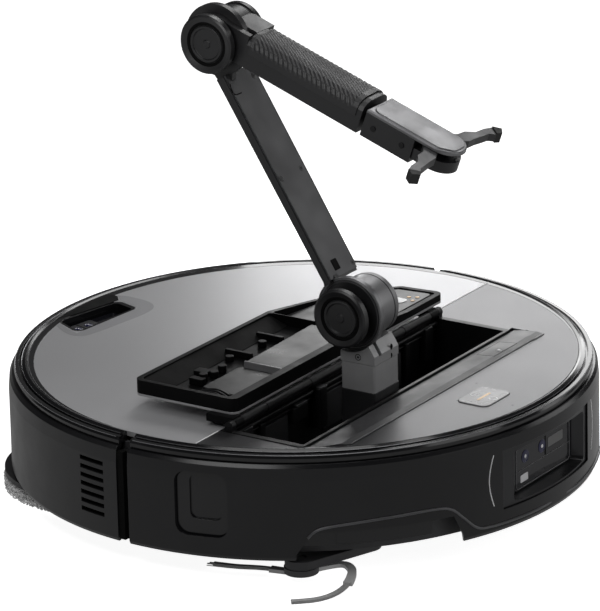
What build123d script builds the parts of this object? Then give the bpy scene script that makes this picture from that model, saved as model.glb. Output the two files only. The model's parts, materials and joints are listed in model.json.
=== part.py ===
from build123d import *
from math import atan2, cos, degrees, radians, sin
import os

# A round floor-cleaning robot with a fold-out arm. Millimetres, +X forward, +Y left, +Z up.
# The origin is on the floor, under the centre of the round body.

# ---- Round body ----
BODY_R = 175.0
UNDERSIDE_Z = 14.0
SHELL_TOP_Z = 71.6
CHASSIS_R = 165.0
CHASSIS_WALL = 2.5
CHASSIS_Z = 16.0
CHASSIS_T = 3.0
RING_R = 171.4
RING_Z = 72.0
DECK_R = 162.8
DECK_Z = 77.5
DECK_T = 3.0
SEAM_X = 32.0
SEAM_GAP = 0.2
REAR_SHELL_X = -14.0
BUMPER_X = -6.0
POST_X = (-13.8, -3.0)
POST_R = 170.4
POST_Z = (15.0, 68.0)

# ---- Arm bay, its frame and the rail in front of it ----
BAY_X = (37.0, 86.0)
BAY_Y = (-132.0, 87.0)
BAY_FLOOR_Z = 42.0
BAY_WALL = 2.0
FRAME_X = (32.2, 88.0)
FRAME_Y = (-136.0, 91.0)
FRAME_Z = 77.9
FRAME_R = 160.3
RAIL_X = (88.2, 109.0)
RAIL_Y = (-136.0, 95.0)

# ---- Controls on the deck ----
HOME_CENTRE = (134.0, -15.0)
HOME_SIZE = (21.0, 29.0)
KEY_X = (92.5, 105.0)
KEY_Y = (45.0, 71.0)
KEY_GAP = 0.3

# ---- Rear range sensor, outline on the deck ----
POD_OUTLINE = [(-160, -29), (-135, -41), (-129, 14), (-148, 20)]

# ---- Openings in the side walls ----
WINDOW_X = (25.0, 56.0)
WINDOW_Z = (26.4, 64.8)
PANE_X = (33.0, 51.5)
PANE_Z = (36.0, 62.5)
CAMERA_Y = (-50.0, 42.0)
CAMERA_Z = (26.5, 62.5)
VENT_X = (-42.5, -24.0)
VENT_PITCH = 5.2
VENT_COUNT = 7
VENT_Z = 26.5
ARCH_DEG = -42.0

# ---- Arm column, shoulder, elbow ----
ARM_Y = -41.0
ARM_HALF = 13.0
COLUMN_X = (61.5, 84.5)
COLUMN_SEAM_Z = 99.4
SHOULDER = (65.8, 127.5)
ELBOW = (-21.8, 278.8)
LINK_DEG = 120.07
LINK_LENGTH = 174.83
FOREARM_DEG = -20.0
FOREARM_LENGTH = 104.5
CAP_R = 17.5
CAP_HUB_R = 12.8
DRUM_R = 17.8
DRUM_END_Y = -24.0
EAR_R = 21.4
AXLE_R = 6.0
RUN_FIT = 0.05
EAR_Y = (-50.0, -46.0)

# ---- Gripper, measured along the forearm from the elbow ----
WRIST_S = 107.0
PALM_S = 141.0
NOSE_S = 166.0
WRIST_H = 4.0
JOURNAL_R = 6.2
FINGER_S = 150.0
FINGER_T = 9.0

# ---- Lid, lying open behind the bay ----
LID_HINGE = (38.2, 81.0)
LID_BOTTOM = 84.5
LID_TOP = 94.0
LID_OUTLINE = [(36.6, -127), (-33.6, -127), (-31, 10), (-19, 70), (8, 97), (36.6, 100)]
KNUCKLE_R = 2.8
LUG_Y = ((-136.0, -132.2), (87.2, 91.0))
LID_ARM_Y = ((-131.8, -124.0), (79.0, 86.8))
LID_PIN_R = 1.5
TUBE_R = 2.7

# ---- Running gear ----
WHEEL_X = -5.0
WHEEL_Y = 112.0
WHEEL_R = 35.0
WHEEL_W = 18.0
CASTER_X = 122.0
ROLLER_X = (36.0, 74.0)
ROLLER_Z = 20.0
ROLLER_R = 17.5
ROLLER_Y = 78.0
MOP_CENTRE = (-97.0, 72.0)
MOP_R = 59.5
SIDE_PIVOT = (104.0, -98.0)
SIDE_HUB = (88.0, -140.0)


def block(x, y, z, mode=Mode.ADD):
    """A box between two corners, each side given as a (low, high) pair."""
    with Locations(((x[0] + x[1]) / 2, (y[0] + y[1]) / 2, (z[0] + z[1]) / 2)):
        Box(x[1] - x[0], y[1] - y[0], z[1] - z[0], mode=mode)


def upright(x, y, radius, z, mode=Mode.ADD):
    """A vertical cylinder from z[0] to z[1]."""
    with Locations((x, y, (z[0] + z[1]) / 2)):
        Cylinder(radius, z[1] - z[0], mode=mode)


def crosswise(x, z, radius, y, mode=Mode.ADD):
    """A cylinder along Y from y[0] to y[1]."""
    with Locations((x, (y[0] + y[1]) / 2, z)):
        Cylinder(radius, y[1] - y[0], rotation=(90, 0, 0), mode=mode)


def outline(points, z, rounding=0.0):
    """A closed sketch on a horizontal plane, with its corners rounded."""
    with BuildSketch(Plane.XY.offset(z)) as shape:
        Polygon(*points, align=None)
        if rounding > 0:
            fillet(shape.vertices(), rounding)
    return shape.sketch


def ring_profile(points):
    """A closed sketch of (radius, height) points for turning about the body's axis."""
    with BuildSketch(Plane.XZ) as shape:
        Polygon(*points, align=None)
    return shape.sketch


def side_plane(angle, origin, y):
    """A plane square to Y: its x runs along a link at this angle above +X."""
    along = (cos(radians(angle)), 0, sin(radians(angle)))
    return Plane(origin=(origin[0], y, origin[1]), x_dir=along, z_dir=(0, -1, 0))


def side_view(points, angle, origin, y):
    """A closed sketch in a link's side view."""
    with BuildSketch(side_plane(angle, origin, y)) as shape:
        Polygon(*points, align=None)
    return shape.sketch


FOREARM_DIR = Vector(cos(radians(FOREARM_DEG)), 0, sin(radians(FOREARM_DEG)))
FOREARM_UP = Vector(-sin(radians(FOREARM_DEG)), 0, cos(radians(FOREARM_DEG)))
ELBOW_POINT = Vector(ELBOW[0], ARM_Y, ELBOW[1])


def forearm_section(s):
    """The plane square to the forearm at a distance s from the elbow: x is +Y, y is up."""
    return Plane(origin=ELBOW_POINT + FOREARM_DIR * s, x_dir=(0, 1, 0), z_dir=FOREARM_DIR)


def forearm_plan(h):
    """The plane along the forearm at a height h over the elbow: x is forward, y is +Y."""
    return Plane(origin=ELBOW_POINT + FOREARM_UP * h, x_dir=FOREARM_DIR, z_dir=FOREARM_UP)


def section(points, s):
    """A closed sketch square to the forearm."""
    with BuildSketch(forearm_section(s)) as shape:
        Polygon(*points, align=None)
    return shape.sketch


def plan(points, h):
    """A closed sketch along the forearm."""
    with BuildSketch(forearm_plan(h)) as shape:
        Polygon(*points, align=None)
    return shape.sketch


def turned_cap(centre, y, radius):
    """A dished bearing cap whose open face looks along -Y."""
    profile = [
        (0, 0), (0, -6.4), (2.2, -6.4), (2.6, -5.8), (8.8, -5.8), (9.4, -6.6),
        (10.6, -6.6), (11.2, -5.6), (radius - 2.4, -7.0), (radius - 1.2, -7.4),
        (radius, -6.6), (radius, -2.9), (radius - 0.8, -2.4), (CAP_HUB_R, -2.4), (CAP_HUB_R, 0),
    ]
    base = Plane(origin=(centre[0], y, centre[1]), x_dir=(1, 0, 0), z_dir=(0, 0, 1))
    with BuildPart() as cap:
        with BuildSketch(base):
            Polygon(*profile, align=None)
        revolve(axis=Axis((centre[0], y, centre[1]), (0, 1, 0)))
    return cap


# ---------------------------------------------------------------- chassis and shells
WALL = [
    (171.9, 16.5), (172.2, UNDERSIDE_Z), (174.0, UNDERSIDE_Z), (BODY_R, 16.0),
    (174.9, 62.0), (174.2, 69.6), (172.6, SHELL_TOP_Z), (168.4, SHELL_TOP_Z),
    (168.4, 70.0), (171.0, 68.6), (171.9, 62.0),
]
CUP_R = 23.0
WELL_Y = (99.0, 125.0)
WELL_X = (WHEEL_X - WHEEL_R - 3, WHEEL_X + WHEEL_R + 3)
FLOOR_TOP = CHASSIS_Z + CHASSIS_T

with BuildPart() as chassis_tray:
    upright(0, 0, CHASSIS_R, (CHASSIS_Z, SHELL_TOP_Z + 0.3))
    upright(0, 0, CHASSIS_R - CHASSIS_WALL, (FLOOR_TOP, SHELL_TOP_Z + 1), Mode.SUBTRACT)
    for side in (-1, 1):
        well = sorted((side * WELL_Y[0], side * WELL_Y[1]))
        block(WELL_X, well, (CHASSIS_Z - 1, FLOOR_TOP + 1), Mode.SUBTRACT)
        bracket = sorted((side * 95.0, side * 98.6))
        block((WHEEL_X - 8, WHEEL_X + 8), bracket, (FLOOR_TOP, 43))
    roller_hole = (ROLLER_X[0] - 19, ROLLER_X[1] + 19)
    block(roller_hole, (-81, 81), (CHASSIS_Z - 1, FLOOR_TOP + 1), Mode.SUBTRACT)
    for side in (-1, 1):
        cheek = sorted((side * 79.0, side * 84.0))
        block((ROLLER_X[0] - 20, ROLLER_X[1] + 20), cheek, (CHASSIS_Z, 38))
        for x in ROLLER_X:
            crosswise(x, ROLLER_Z, 3 + RUN_FIT, cheek, Mode.SUBTRACT)
    upright(CASTER_X, 0, CUP_R, (CHASSIS_Z, 37))
    upright(CASTER_X, 0, CUP_R - 2, (CHASSIS_Z - 1, 34), Mode.SUBTRACT)
    upright(CASTER_X, 0, 5 + RUN_FIT, (33, 38), Mode.SUBTRACT)
    block((146, 170), (-52, 52), (22, 64), Mode.SUBTRACT)
    for side in (-1, 1):
        upright(MOP_CENTRE[0], side * MOP_CENTRE[1], 9, (FLOOR_TOP, 30))
        upright(MOP_CENTRE[0], side * MOP_CENTRE[1], 5 + RUN_FIT, (CHASSIS_Z - 1, 31), Mode.SUBTRACT)
    upright(*SIDE_PIVOT, 7, (FLOOR_TOP, 26))
    upright(*SIDE_PIVOT, 4 + RUN_FIT, (CHASSIS_Z - 1, 27), Mode.SUBTRACT)

with BuildPart() as gap_posts:
    post_wall = [
        (CHASSIS_R, POST_Z[0]), (POST_R, POST_Z[0]), (POST_R, POST_Z[1]), (CHASSIS_R, POST_Z[1]),
    ]
    revolve(ring_profile(post_wall), axis=Axis.Z)
    block(POST_X, (-BODY_R, BODY_R), POST_Z, Mode.INTERSECT)

with BuildPart() as rear_shell:
    revolve(ring_profile(WALL), axis=Axis.Z)
    split(bisect_by=Plane.YZ.offset(REAR_SHELL_X), keep=Keep.BOTTOM)
    for side in (-1, 1):
        for row in range(VENT_COUNT):
            low = VENT_Z + row * VENT_PITCH
            block(VENT_X, sorted((side * 150, side * 180)), (low, low + 2.6), Mode.SUBTRACT)

with BuildPart() as front_bumper:
    revolve(ring_profile(WALL), axis=Axis.Z)
    split(bisect_by=Plane.YZ.offset(BUMPER_X), keep=Keep.TOP)
    with BuildSketch(Plane.XZ) as window_cut:
        with Locations((sum(WINDOW_X) / 2, sum(WINDOW_Z) / 2)):
            RectangleRounded(WINDOW_X[1] - WINDOW_X[0], WINDOW_Z[1] - WINDOW_Z[0], 7)
    extrude(amount=200, both=True, mode=Mode.SUBTRACT)
    block((150, 180), CAMERA_Y, CAMERA_Z, Mode.SUBTRACT)
    outward = (cos(radians(ARCH_DEG)), sin(radians(ARCH_DEG)), 0)
    with BuildSketch(Plane(origin=(0, 0, 0), x_dir=(-outward[1], outward[0], 0), z_dir=outward)):
        Polygon((-50, 10), (-50, 18), (-41, 31), (42, 31), (48, 18), (49, 10), align=None)
    extrude(amount=180, mode=Mode.SUBTRACT)

with BuildPart() as rim_ring:
    RING = [
        (163.1, RING_Z), (RING_R - 0.2, RING_Z), (RING_R, 74.5), (170.6, 76.4), (168.4, 76.6),
        (168.2, 74.2), (166.9, 74.2), (166.7, 76.9), (164.6, 78.0), (163.1, 77.4),
    ]
    revolve(ring_profile(RING), axis=Axis.Z)
    block((REAR_SHELL_X, BUMPER_X), (-BODY_R, BODY_R), (RING_Z - 1, DECK_Z + 1), Mode.SUBTRACT)

with BuildPart() as side_arm_cover:
    cover_wall = [(165.3, 20.5), (168.6, 20.5), (168.6, 32.0), (165.3, 32.0)]
    revolve(ring_profile(cover_wall), axis=Axis.Z)
    with BuildSketch(Plane.XY):
        Polygon((0, 0), (130, -208), (235, -145), align=None)
    extrude(amount=60, mode=Mode.INTERSECT)

# ---------------------------------------------------------------- decks, bay and rail
with BuildPart() as rear_deck_cover:
    upright(0, 0, DECK_R, (DECK_Z - DECK_T, DECK_Z))
    split(bisect_by=Plane.YZ.offset(SEAM_X - SEAM_GAP), keep=Keep.BOTTOM)
    extrude(outline(POD_OUTLINE, 70, 5), amount=10, mode=Mode.SUBTRACT)

with BuildPart() as front_deck_cover:
    upright(0, 0, DECK_R, (DECK_Z - DECK_T, DECK_Z))
    split(bisect_by=Plane.YZ.offset(SEAM_X), keep=Keep.TOP)
    with BuildSketch(Plane.XY.offset(70)):
        for x, y in (((SEAM_X - 1, FRAME_X[1]), FRAME_Y), ((FRAME_X[1] - 1, RAIL_X[1]), RAIL_Y)):
            Polygon((x[0], y[0]), (x[1], y[0]), (x[1], y[1]), (x[0], y[1]), align=None)
        offset(amount=SEAM_GAP, kind=Kind.INTERSECTION)
        Circle(FRAME_R + SEAM_GAP, mode=Mode.INTERSECT)
    extrude(amount=10, mode=Mode.SUBTRACT)
    with BuildSketch(Plane.XY.offset(70)):
        with Locations(HOME_CENTRE):
            RectangleRounded(HOME_SIZE[0] + 2 * KEY_GAP, HOME_SIZE[1] + 2 * KEY_GAP, 5)
    extrude(amount=10, mode=Mode.SUBTRACT)

with BuildPart() as bay_tub:
    tub_x = (BAY_X[0] - BAY_WALL, BAY_X[1] + BAY_WALL)
    tub_y = (BAY_Y[0] - BAY_WALL, BAY_Y[1] + BAY_WALL)
    block(tub_x, tub_y, (BAY_FLOOR_Z - BAY_WALL, FRAME_Z - 1.9))
    block(FRAME_X, FRAME_Y, (FRAME_Z - 1.9, FRAME_Z))
    upright(0, 0, FRAME_R, (BAY_FLOOR_Z - BAY_WALL - 1, FRAME_Z + 1), Mode.INTERSECT)
    block(BAY_X, BAY_Y, (BAY_FLOOR_Z, FRAME_Z + 1), Mode.SUBTRACT)
    for lug_y in LUG_Y:
        crosswise(*LID_HINGE, KNUCKLE_R, lug_y)
        block((LID_HINGE[0] - 2.2, LID_HINGE[0] + 2.4), lug_y, (FRAME_Z - 1, LID_HINGE[1]))
        crosswise(*LID_HINGE, LID_PIN_R, lug_y, Mode.SUBTRACT)

RAIL_SIDE = [
    (RAIL_X[0], DECK_Z - DECK_T), (RAIL_X[1], DECK_Z - DECK_T), (RAIL_X[1], DECK_Z + 0.3),
    (RAIL_X[1] - 5, DECK_Z + 0.9), (RAIL_X[0] + 1, DECK_Z - 0.6), (RAIL_X[0], DECK_Z - 1.2),
]


def rail_bar():
    """The sloped bar between the bay and the front deck, trimmed to the round deck."""
    with BuildPart() as bar:
        with BuildSketch(Plane.XZ.offset(-RAIL_Y[1])):
            Polygon(*RAIL_SIDE, align=None)
        extrude(amount=RAIL_Y[1] - RAIL_Y[0])
        upright(0, 0, FRAME_R, (60, 90), Mode.INTERSECT)
    return bar


with BuildPart() as bay_rail:
    add(rail_bar().part)
    block(KEY_X, KEY_Y, (70, 80), Mode.SUBTRACT)

with BuildPart() as rail_button:
    add(rail_bar().part)
    key_x = (KEY_X[0] + KEY_GAP, KEY_X[1] - KEY_GAP)
    key_y = (KEY_Y[0] + KEY_GAP, KEY_Y[1] - KEY_GAP)
    block(key_x, key_y, (75.2, 80), Mode.INTERSECT)

with BuildPart() as home_button:
    with BuildSketch(Plane.XY.offset(75.0)):
        with Locations(HOME_CENTRE):
            RectangleRounded(*HOME_SIZE, 4.7)
    extrude(amount=3.0)
    fillet(home_button.edges().group_by(Axis.Z)[-1], 0.6)
    upright(*HOME_CENTRE, 3, (72.0, 75.0))

with BuildPart() as rear_sensor_pod:
    inner = [(-157, -28), (-137, -37.4), (-131.6, 12), (-147, 16.6)]
    shell = [(-159.6, -29), (-135.2, -40.6), (-129.4, 13.8), (-147.9, 19.6)]
    extrude(outline(shell, 62, 4.6), amount=15.2)
    extrude(outline(inner, 66, 3), amount=12, mode=Mode.SUBTRACT)

with BuildPart() as rear_sensor_glass:
    lens_block = [(-154, -25.5), (-139, -32.5), (-134.4, 8), (-146, 11.5)]
    extrude(outline(lens_block, 66, 2), amount=7)
    fillet(rear_sensor_glass.edges().group_by(Axis.Z)[-1], 1.0)

# ---------------------------------------------------------------- front and side sensors
with BuildPart() as front_sensor_frame:
    frame_y = (CAMERA_Y[0] + 0.2, CAMERA_Y[1] - 0.2)
    block((155, 176), frame_y, (CAMERA_Z[0] + 0.2, CAMERA_Z[1] - 0.2))
    upright(0, 0, BODY_R - 1.2, (0, 90), Mode.INTERSECT)
    mouth = Plane.YZ.offset(176)
    throat = Plane.YZ.offset(163)
    with BuildSketch(throat):
        with Locations((0, 43)):
            RectangleRounded(66, 27, 3)
    with BuildSketch(mouth):
        with Locations((sum(CAMERA_Y) / 2, sum(CAMERA_Z) / 2)):
            RectangleRounded(90, 34, 3)
    loft(mode=Mode.SUBTRACT)
    block((157.4, 164), (-31, 31), (31, 55), Mode.SUBTRACT)

with BuildPart() as front_sensor_glass:
    with BuildSketch(Plane.YZ.offset(163.1)):
        with Locations((0, 43)):
            RectangleRounded(65, 26, 2.6)
    extrude(amount=1.2)

CAMERAS = [(-20.0, 48.7, 5.0), (-1.0, 48.7, 5.0), (12.0, 48.7, 2.8)]
with BuildPart() as camera_modules:
    for y, z, radius in CAMERAS:
        with Locations((160.2, y, z)):
            Cylinder(radius, 5.2, rotation=(0, 90, 0))


def curved_panes(radii, x, z, rounding):
    """A rounded rectangle cut from the cylinder wall on both sides of the body."""
    wall = [(radii[0], z[0]), (radii[1], z[0]), (radii[1], z[1]), (radii[0], z[1])]
    with BuildPart() as panes:
        revolve(ring_profile(wall), axis=Axis.Z)
        with BuildSketch(Plane.XZ):
            with Locations((sum(x) / 2, sum(z) / 2)):
                RectangleRounded(x[1] - x[0], z[1] - z[0], rounding)
        extrude(amount=200, both=True, mode=Mode.INTERSECT)
    return panes.part


with BuildPart() as side_sensor_windows:
    frame_x = (WINDOW_X[0] + 0.2, WINDOW_X[1] - 0.2)
    frame_z = (WINDOW_Z[0] + 0.2, WINDOW_Z[1] - 0.2)
    add(curved_panes((169.2, 172.6), frame_x, frame_z, 6.8))
    add(curved_panes((171.2, 174.0), PANE_X, PANE_Z, 4.0), mode=Mode.SUBTRACT)

# ---------------------------------------------------------------- lid
with BuildPart() as lid_skin:
    extrude(outline(LID_OUTLINE, LID_BOTTOM, 5), amount=1.4)

with BuildPart() as lid_tray:
    extrude(outline(LID_OUTLINE, LID_BOTTOM + 1.4, 5), amount=LID_TOP - LID_BOTTOM - 1.4)
    slope = [(8, LID_TOP + 0.1), (60, 90.0), (105, 90.0), (105, LID_TOP + 2), (8, LID_TOP + 2)]
    with BuildSketch(Plane.YZ.offset(-40)):
        Polygon(*slope, align=None)
    extrude(amount=90, mode=Mode.SUBTRACT)
    pocket = [(31, -124), (-30.2, -124), (-28.2, 8), (31, 8)]
    extrude(outline(pocket, 87.6, 3), amount=12, mode=Mode.SUBTRACT)
    shelf = [(33, 8.5), (-27.8, 8.5), (-17, 68.5), (9, 94), (33, 96.4)]
    extrude(outline(shelf, 88.8, 2.5), amount=12, mode=Mode.SUBTRACT)

with BuildPart() as lid_hinge_arms:
    for arm_y in LID_ARM_Y:
        crosswise(*LID_HINGE, KNUCKLE_R, arm_y)
        block((20, LID_HINGE[0]), arm_y, (80.0, LID_BOTTOM))
        crosswise(*LID_HINGE, LID_PIN_R + RUN_FIT, arm_y, Mode.SUBTRACT)

with BuildPart() as hinge_rods:
    for pin_y in ((LUG_Y[0][0], LID_ARM_Y[0][1] + 0.3), (LID_ARM_Y[1][0] - 0.3, LUG_Y[1][1])):
        crosswise(*LID_HINGE, LID_PIN_R, pin_y)
    crosswise(*LID_HINGE, TUBE_R, (LID_ARM_Y[0][1] + 0.3, LID_ARM_Y[1][0] - 0.3))

# ---------------------------------------------------------------- arm column and shoulder
COLUMN_Y = (ARM_Y - ARM_HALF, ARM_Y + ARM_HALF)
YAW_X = (COLUMN_X[0] + COLUMN_X[1]) / 2

with BuildPart() as column_base:
    block(COLUMN_X, COLUMN_Y, (BAY_FLOOR_Z, COLUMN_SEAM_Z))
    fillet(column_base.edges().filter_by(Axis.Z), 1.5)
    core_x = (COLUMN_X[0] + 2.5, COLUMN_X[1] - 2.5)
    core_y = (COLUMN_Y[0] + 2.5, COLUMN_Y[1] - 2.5)
    block(core_x, core_y, (BAY_FLOOR_Z - 1, 92), Mode.SUBTRACT)
    upright(YAW_X, ARM_Y, 8 + RUN_FIT, (88, 102), Mode.SUBTRACT)

with BuildPart() as column_head:
    HEAD_SIDE = [
        (COLUMN_X[0], COLUMN_SEAM_Z + 0.2), (COLUMN_X[1], COLUMN_SEAM_Z + 0.2), (COLUMN_X[1], 105),
        (COLUMN_X[1] - 1.5, 107.5), (80, 112), (64, 114), (COLUMN_X[0], 112),
    ]
    with BuildSketch(Plane.XZ.offset(-COLUMN_Y[1])):
        Polygon(*HEAD_SIDE, align=None)
    extrude(amount=2 * ARM_HALF)
    crosswise(*SHOULDER, EAR_R + 0.6, (COLUMN_Y[0] - 1, EAR_Y[1] + 0.7), Mode.SUBTRACT)
    crosswise(*SHOULDER, DRUM_R + RUN_FIT, (EAR_Y[1] + 0.6, COLUMN_Y[1] + 1), Mode.SUBTRACT)
    block((79, 86), (ARM_Y - 8, ARM_Y - 5), (104, 115), Mode.SUBTRACT)
    upright(YAW_X, ARM_Y, 8, (84, COLUMN_SEAM_Z + 0.2))

with BuildPart() as shoulder_motor:
    crosswise(*SHOULDER, DRUM_R, (EAR_Y[1] + 0.6, DRUM_END_Y))
    fillet(shoulder_motor.edges().group_by(Axis.Y)[-1], 2)
    crosswise(*SHOULDER, AXLE_R + RUN_FIT, (EAR_Y[1], -39.9), Mode.SUBTRACT)

with BuildPart() as shoulder_axle:
    crosswise(*SHOULDER, AXLE_R, (COLUMN_Y[0] - 0.3, -40))
    crosswise(*SHOULDER, 10.0, (COLUMN_Y[0] - 0.3, EAR_Y[0] - 0.3))

shoulder_cap = turned_cap(SHOULDER, COLUMN_Y[0] - 0.3, CAP_R)

# ---------------------------------------------------------------- upper link
LINK_HALF_Y = (COLUMN_Y[0], COLUMN_Y[1] + 2.6)
LINK_END = LINK_LENGTH - 20.6
REAR_LOW, REAR_HIGH = 4.2, 9.4
FRONT_LOW, FRONT_HIGH = -1.2, 3.0
SKIN = 1.2
WEB = [
    (8, -9), (26, FRONT_LOW + SKIN), (LINK_END - 6, FRONT_HIGH + SKIN), (LINK_LENGTH - 12, -8),
    (LINK_LENGTH - 4, 15), (LINK_END - 12, REAR_HIGH), (30, REAR_LOW), (6, 14),
]

with BuildPart() as upper_link:
    plate = [
        (20.4, FRONT_LOW + SKIN), (LINK_END, FRONT_HIGH + SKIN), (LINK_END, REAR_HIGH), (20.4, REAR_LOW),
    ]
    link_width = LINK_HALF_Y[1] - LINK_HALF_Y[0]
    extrude(side_view(plate, LINK_DEG, SHOULDER, LINK_HALF_Y[1]), amount=link_width)
    extrude(side_view(WEB, LINK_DEG, SHOULDER, EAR_Y[1]), amount=EAR_Y[1] - EAR_Y[0])
    for centre in (SHOULDER, ELBOW):
        crosswise(*centre, EAR_R, EAR_Y)
    for centre in (SHOULDER, ELBOW):
        crosswise(*centre, AXLE_R + RUN_FIT, EAR_Y, Mode.SUBTRACT)

with BuildPart() as upper_link_cover:
    cover = [
        (22, FRONT_LOW + SKIN), (LINK_END, FRONT_HIGH + SKIN), (LINK_END, FRONT_HIGH), (22, FRONT_LOW),
    ]
    extrude(side_view(cover, LINK_DEG, SHOULDER, LINK_HALF_Y[1] - 0.6), amount=link_width - 1.2)
    ear_width = EAR_Y[1] - EAR_Y[0]
    extrude(side_view(WEB, LINK_DEG, SHOULDER, EAR_Y[1]), amount=ear_width, mode=Mode.SUBTRACT)

# ---------------------------------------------------------------- forearm
BAR_CROWN = [(13, 9.6), (11.9, 12.2), (9.4, 14.1), (5.4, 15.1)]
COVER_CROWN = [(13.7, 9.9), (12.6, 12.8), (9.9, 14.9), (5.8, 16.0)]


def crowned(crown, low):
    """A section with upright sides and a rounded top, mirrored about its middle."""
    side = crown[0][0]
    return [(-side, low), (side, low)] + crown + [(-t, h) for t, h in reversed(crown)]


BAR = crowned(BAR_CROWN, -4.5)
FORK_S = 22.0
COVER_S = (24.0, 101.0)

with BuildPart() as forearm_housing:
    extrude(section(BAR, FORK_S), amount=FOREARM_LENGTH - FORK_S)
    for cheek_y in ((-54.0, EAR_Y[0] - 0.4), (EAR_Y[1] + 0.4, -28.0)):
        root = [(0, -4.5), (FORK_S, -4.5), (FORK_S, 15.2), (0, 15.2)]
        extrude(side_view(root, FOREARM_DEG, ELBOW, cheek_y[1]), amount=cheek_y[1] - cheek_y[0])
        crosswise(*ELBOW, 16.2, cheek_y)
        crosswise(*ELBOW, AXLE_R, cheek_y, Mode.SUBTRACT)
    with BuildSketch(forearm_section(92)):
        with Locations((0, WRIST_H)):
            Circle(JOURNAL_R + RUN_FIT)
    extrude(amount=20, mode=Mode.SUBTRACT)

with BuildPart() as forearm_grip_cover:
    extrude(section(crowned(COVER_CROWN, 5), COVER_S[0]), amount=COVER_S[1] - COVER_S[0])
    extrude(section(BAR, COVER_S[0] - 1), amount=COVER_S[1] - COVER_S[0] + 2, mode=Mode.SUBTRACT)

with BuildPart() as elbow_axle:
    crosswise(*ELBOW, AXLE_R, (COLUMN_Y[0], -28))
    crosswise(*ELBOW, 17.0, (-28, -23.5))
    fillet(elbow_axle.edges().group_by(Axis.Y)[-1], 1.5)

elbow_cap = turned_cap(ELBOW, COLUMN_Y[0], CAP_R)

# ---------------------------------------------------------------- gripper
HOUSING = [(-12.8, -4.5), (12.8, -4.5), (12.8, 10.2), (-12.8, 10.2)]

with BuildPart() as gripper_housing:
    extrude(section(HOUSING, WRIST_S), amount=PALM_S - WRIST_S)
    with BuildSketch(forearm_section(93)):
        with Locations((0, WRIST_H)):
            Circle(JOURNAL_R)
    extrude(amount=WRIST_S - 93 + 0.3)

TOP_R = 12.8


def along_box(start, end, half):
    """A rectangle about the forearm's middle line, from start to end along it."""
    return [(start, -half), (end, -half), (end, half), (start, half)]


with BuildPart() as gripper_top_plate:
    extrude(plan(along_box(WRIST_S, NOSE_S - TOP_R, TOP_R), 10.5), amount=2.2)
    with BuildSketch(forearm_plan(10.5)):
        with Locations((NOSE_S - TOP_R, 0)):
            Circle(TOP_R)
    extrude(amount=2.2)
    fillet(gripper_top_plate.edges().group_by(Axis(ELBOW_POINT, FOREARM_UP))[-1], 1.0)

NOSE_R = 11.6
with BuildPart() as gripper_nose:
    with BuildSketch(forearm_plan(-2)):
        Polygon(*along_box(PALM_S + 0.2, NOSE_S - 13, NOSE_R), align=None)
        with Locations((NOSE_S - 13, 0)):
            Circle(NOSE_R)
    extrude(amount=7)
    with BuildSketch(forearm_plan(5)):
        with Locations((FINGER_S + 8, 0)):
            Circle(3)
        with Locations((FINGER_S, FINGER_T), (FINGER_S, -FINGER_T)):
            Circle(2.2)
    extrude(amount=5.4)

FINGER = [
    (4.8, 0), (9.2, 9), (9.4, 15.5), (10.2, 21), (11.0, 28), (13.8, 31.5), (7.6, 36),
    (5.8, 30), (5.2, 22), (1.2, 16), (0.6, 9.5), (-4.8, 0),
]
PAD = [(13.8, 31.5), (15.4, 35), (12.2, 39.4), (7.6, 36)]


def mirrored(points, side):
    """A finger's outline placed at its pivot, on the +Y side for 1 and the -Y side for -1."""
    return [(FINGER_S + s, side * (FINGER_T + t)) for s, t in points]


def finger(side):
    """One finger with its pivot boss."""
    with BuildPart() as jaw:
        extrude(plan(mirrored(FINGER, side), 5.4), amount=4.8)
        with BuildSketch(forearm_plan(5.4)):
            with Locations((FINGER_S, side * FINGER_T)):
                Circle(4.8)
        extrude(amount=4.8)
        with BuildSketch(forearm_plan(5)):
            with Locations((FINGER_S, side * FINGER_T)):
                Circle(2.2 + RUN_FIT)
        extrude(amount=6, mode=Mode.SUBTRACT)
    return jaw


def finger_pad(side):
    """The rubber tip of one finger."""
    with BuildPart() as tip:
        extrude(plan(mirrored(PAD, side), 4.6), amount=6.4)
    return tip


finger_left = finger(1)
finger_right = finger(-1)
finger_pad_left = finger_pad(1)
finger_pad_right = finger_pad(-1)


# ---------------------------------------------------------------- running gear
def wheel(side):
    """A drive wheel with spokes of air between hub and rim."""
    y = side * WHEEL_Y
    face = (y - WHEEL_W / 2, y + WHEEL_W / 2)
    with BuildPart() as rim:
        crosswise(WHEEL_X, WHEEL_R, WHEEL_R - 5, face)
        crosswise(WHEEL_X, WHEEL_R, 4 + RUN_FIT, face, Mode.SUBTRACT)
        base = Plane(origin=(WHEEL_X, face[1], WHEEL_R), x_dir=(1, 0, 0), z_dir=(0, -1, 0))
        with BuildSketch(base):
            with PolarLocations(18, 6):
                Circle(5.5)
        extrude(amount=WHEEL_W, mode=Mode.SUBTRACT)
    return rim


def tyre(side):
    """The rubber tread of a drive wheel."""
    y = side * WHEEL_Y
    face = (y - WHEEL_W / 2, y + WHEEL_W / 2)
    with BuildPart() as tread:
        crosswise(WHEEL_X, WHEEL_R, WHEEL_R, face)
        crosswise(WHEEL_X, WHEEL_R, WHEEL_R - 5, face, Mode.SUBTRACT)
        base = Plane(origin=(WHEEL_X, face[1], WHEEL_R), x_dir=(1, 0, 0), z_dir=(0, -1, 0))
        with BuildSketch(base):
            with PolarLocations(WHEEL_R + 0.4, 24, start_angle=7.5):
                Rectangle(3, 3.4)
        extrude(amount=WHEEL_W, mode=Mode.SUBTRACT)
    return tread


left_wheel = wheel(1)
right_wheel = wheel(-1)
left_tyre = tyre(1)
right_tyre = tyre(-1)

with BuildPart() as wheel_axles:
    for side in (-1, 1):
        crosswise(WHEEL_X, WHEEL_R, 4, sorted((side * 98.6, side * 123)))

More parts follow.
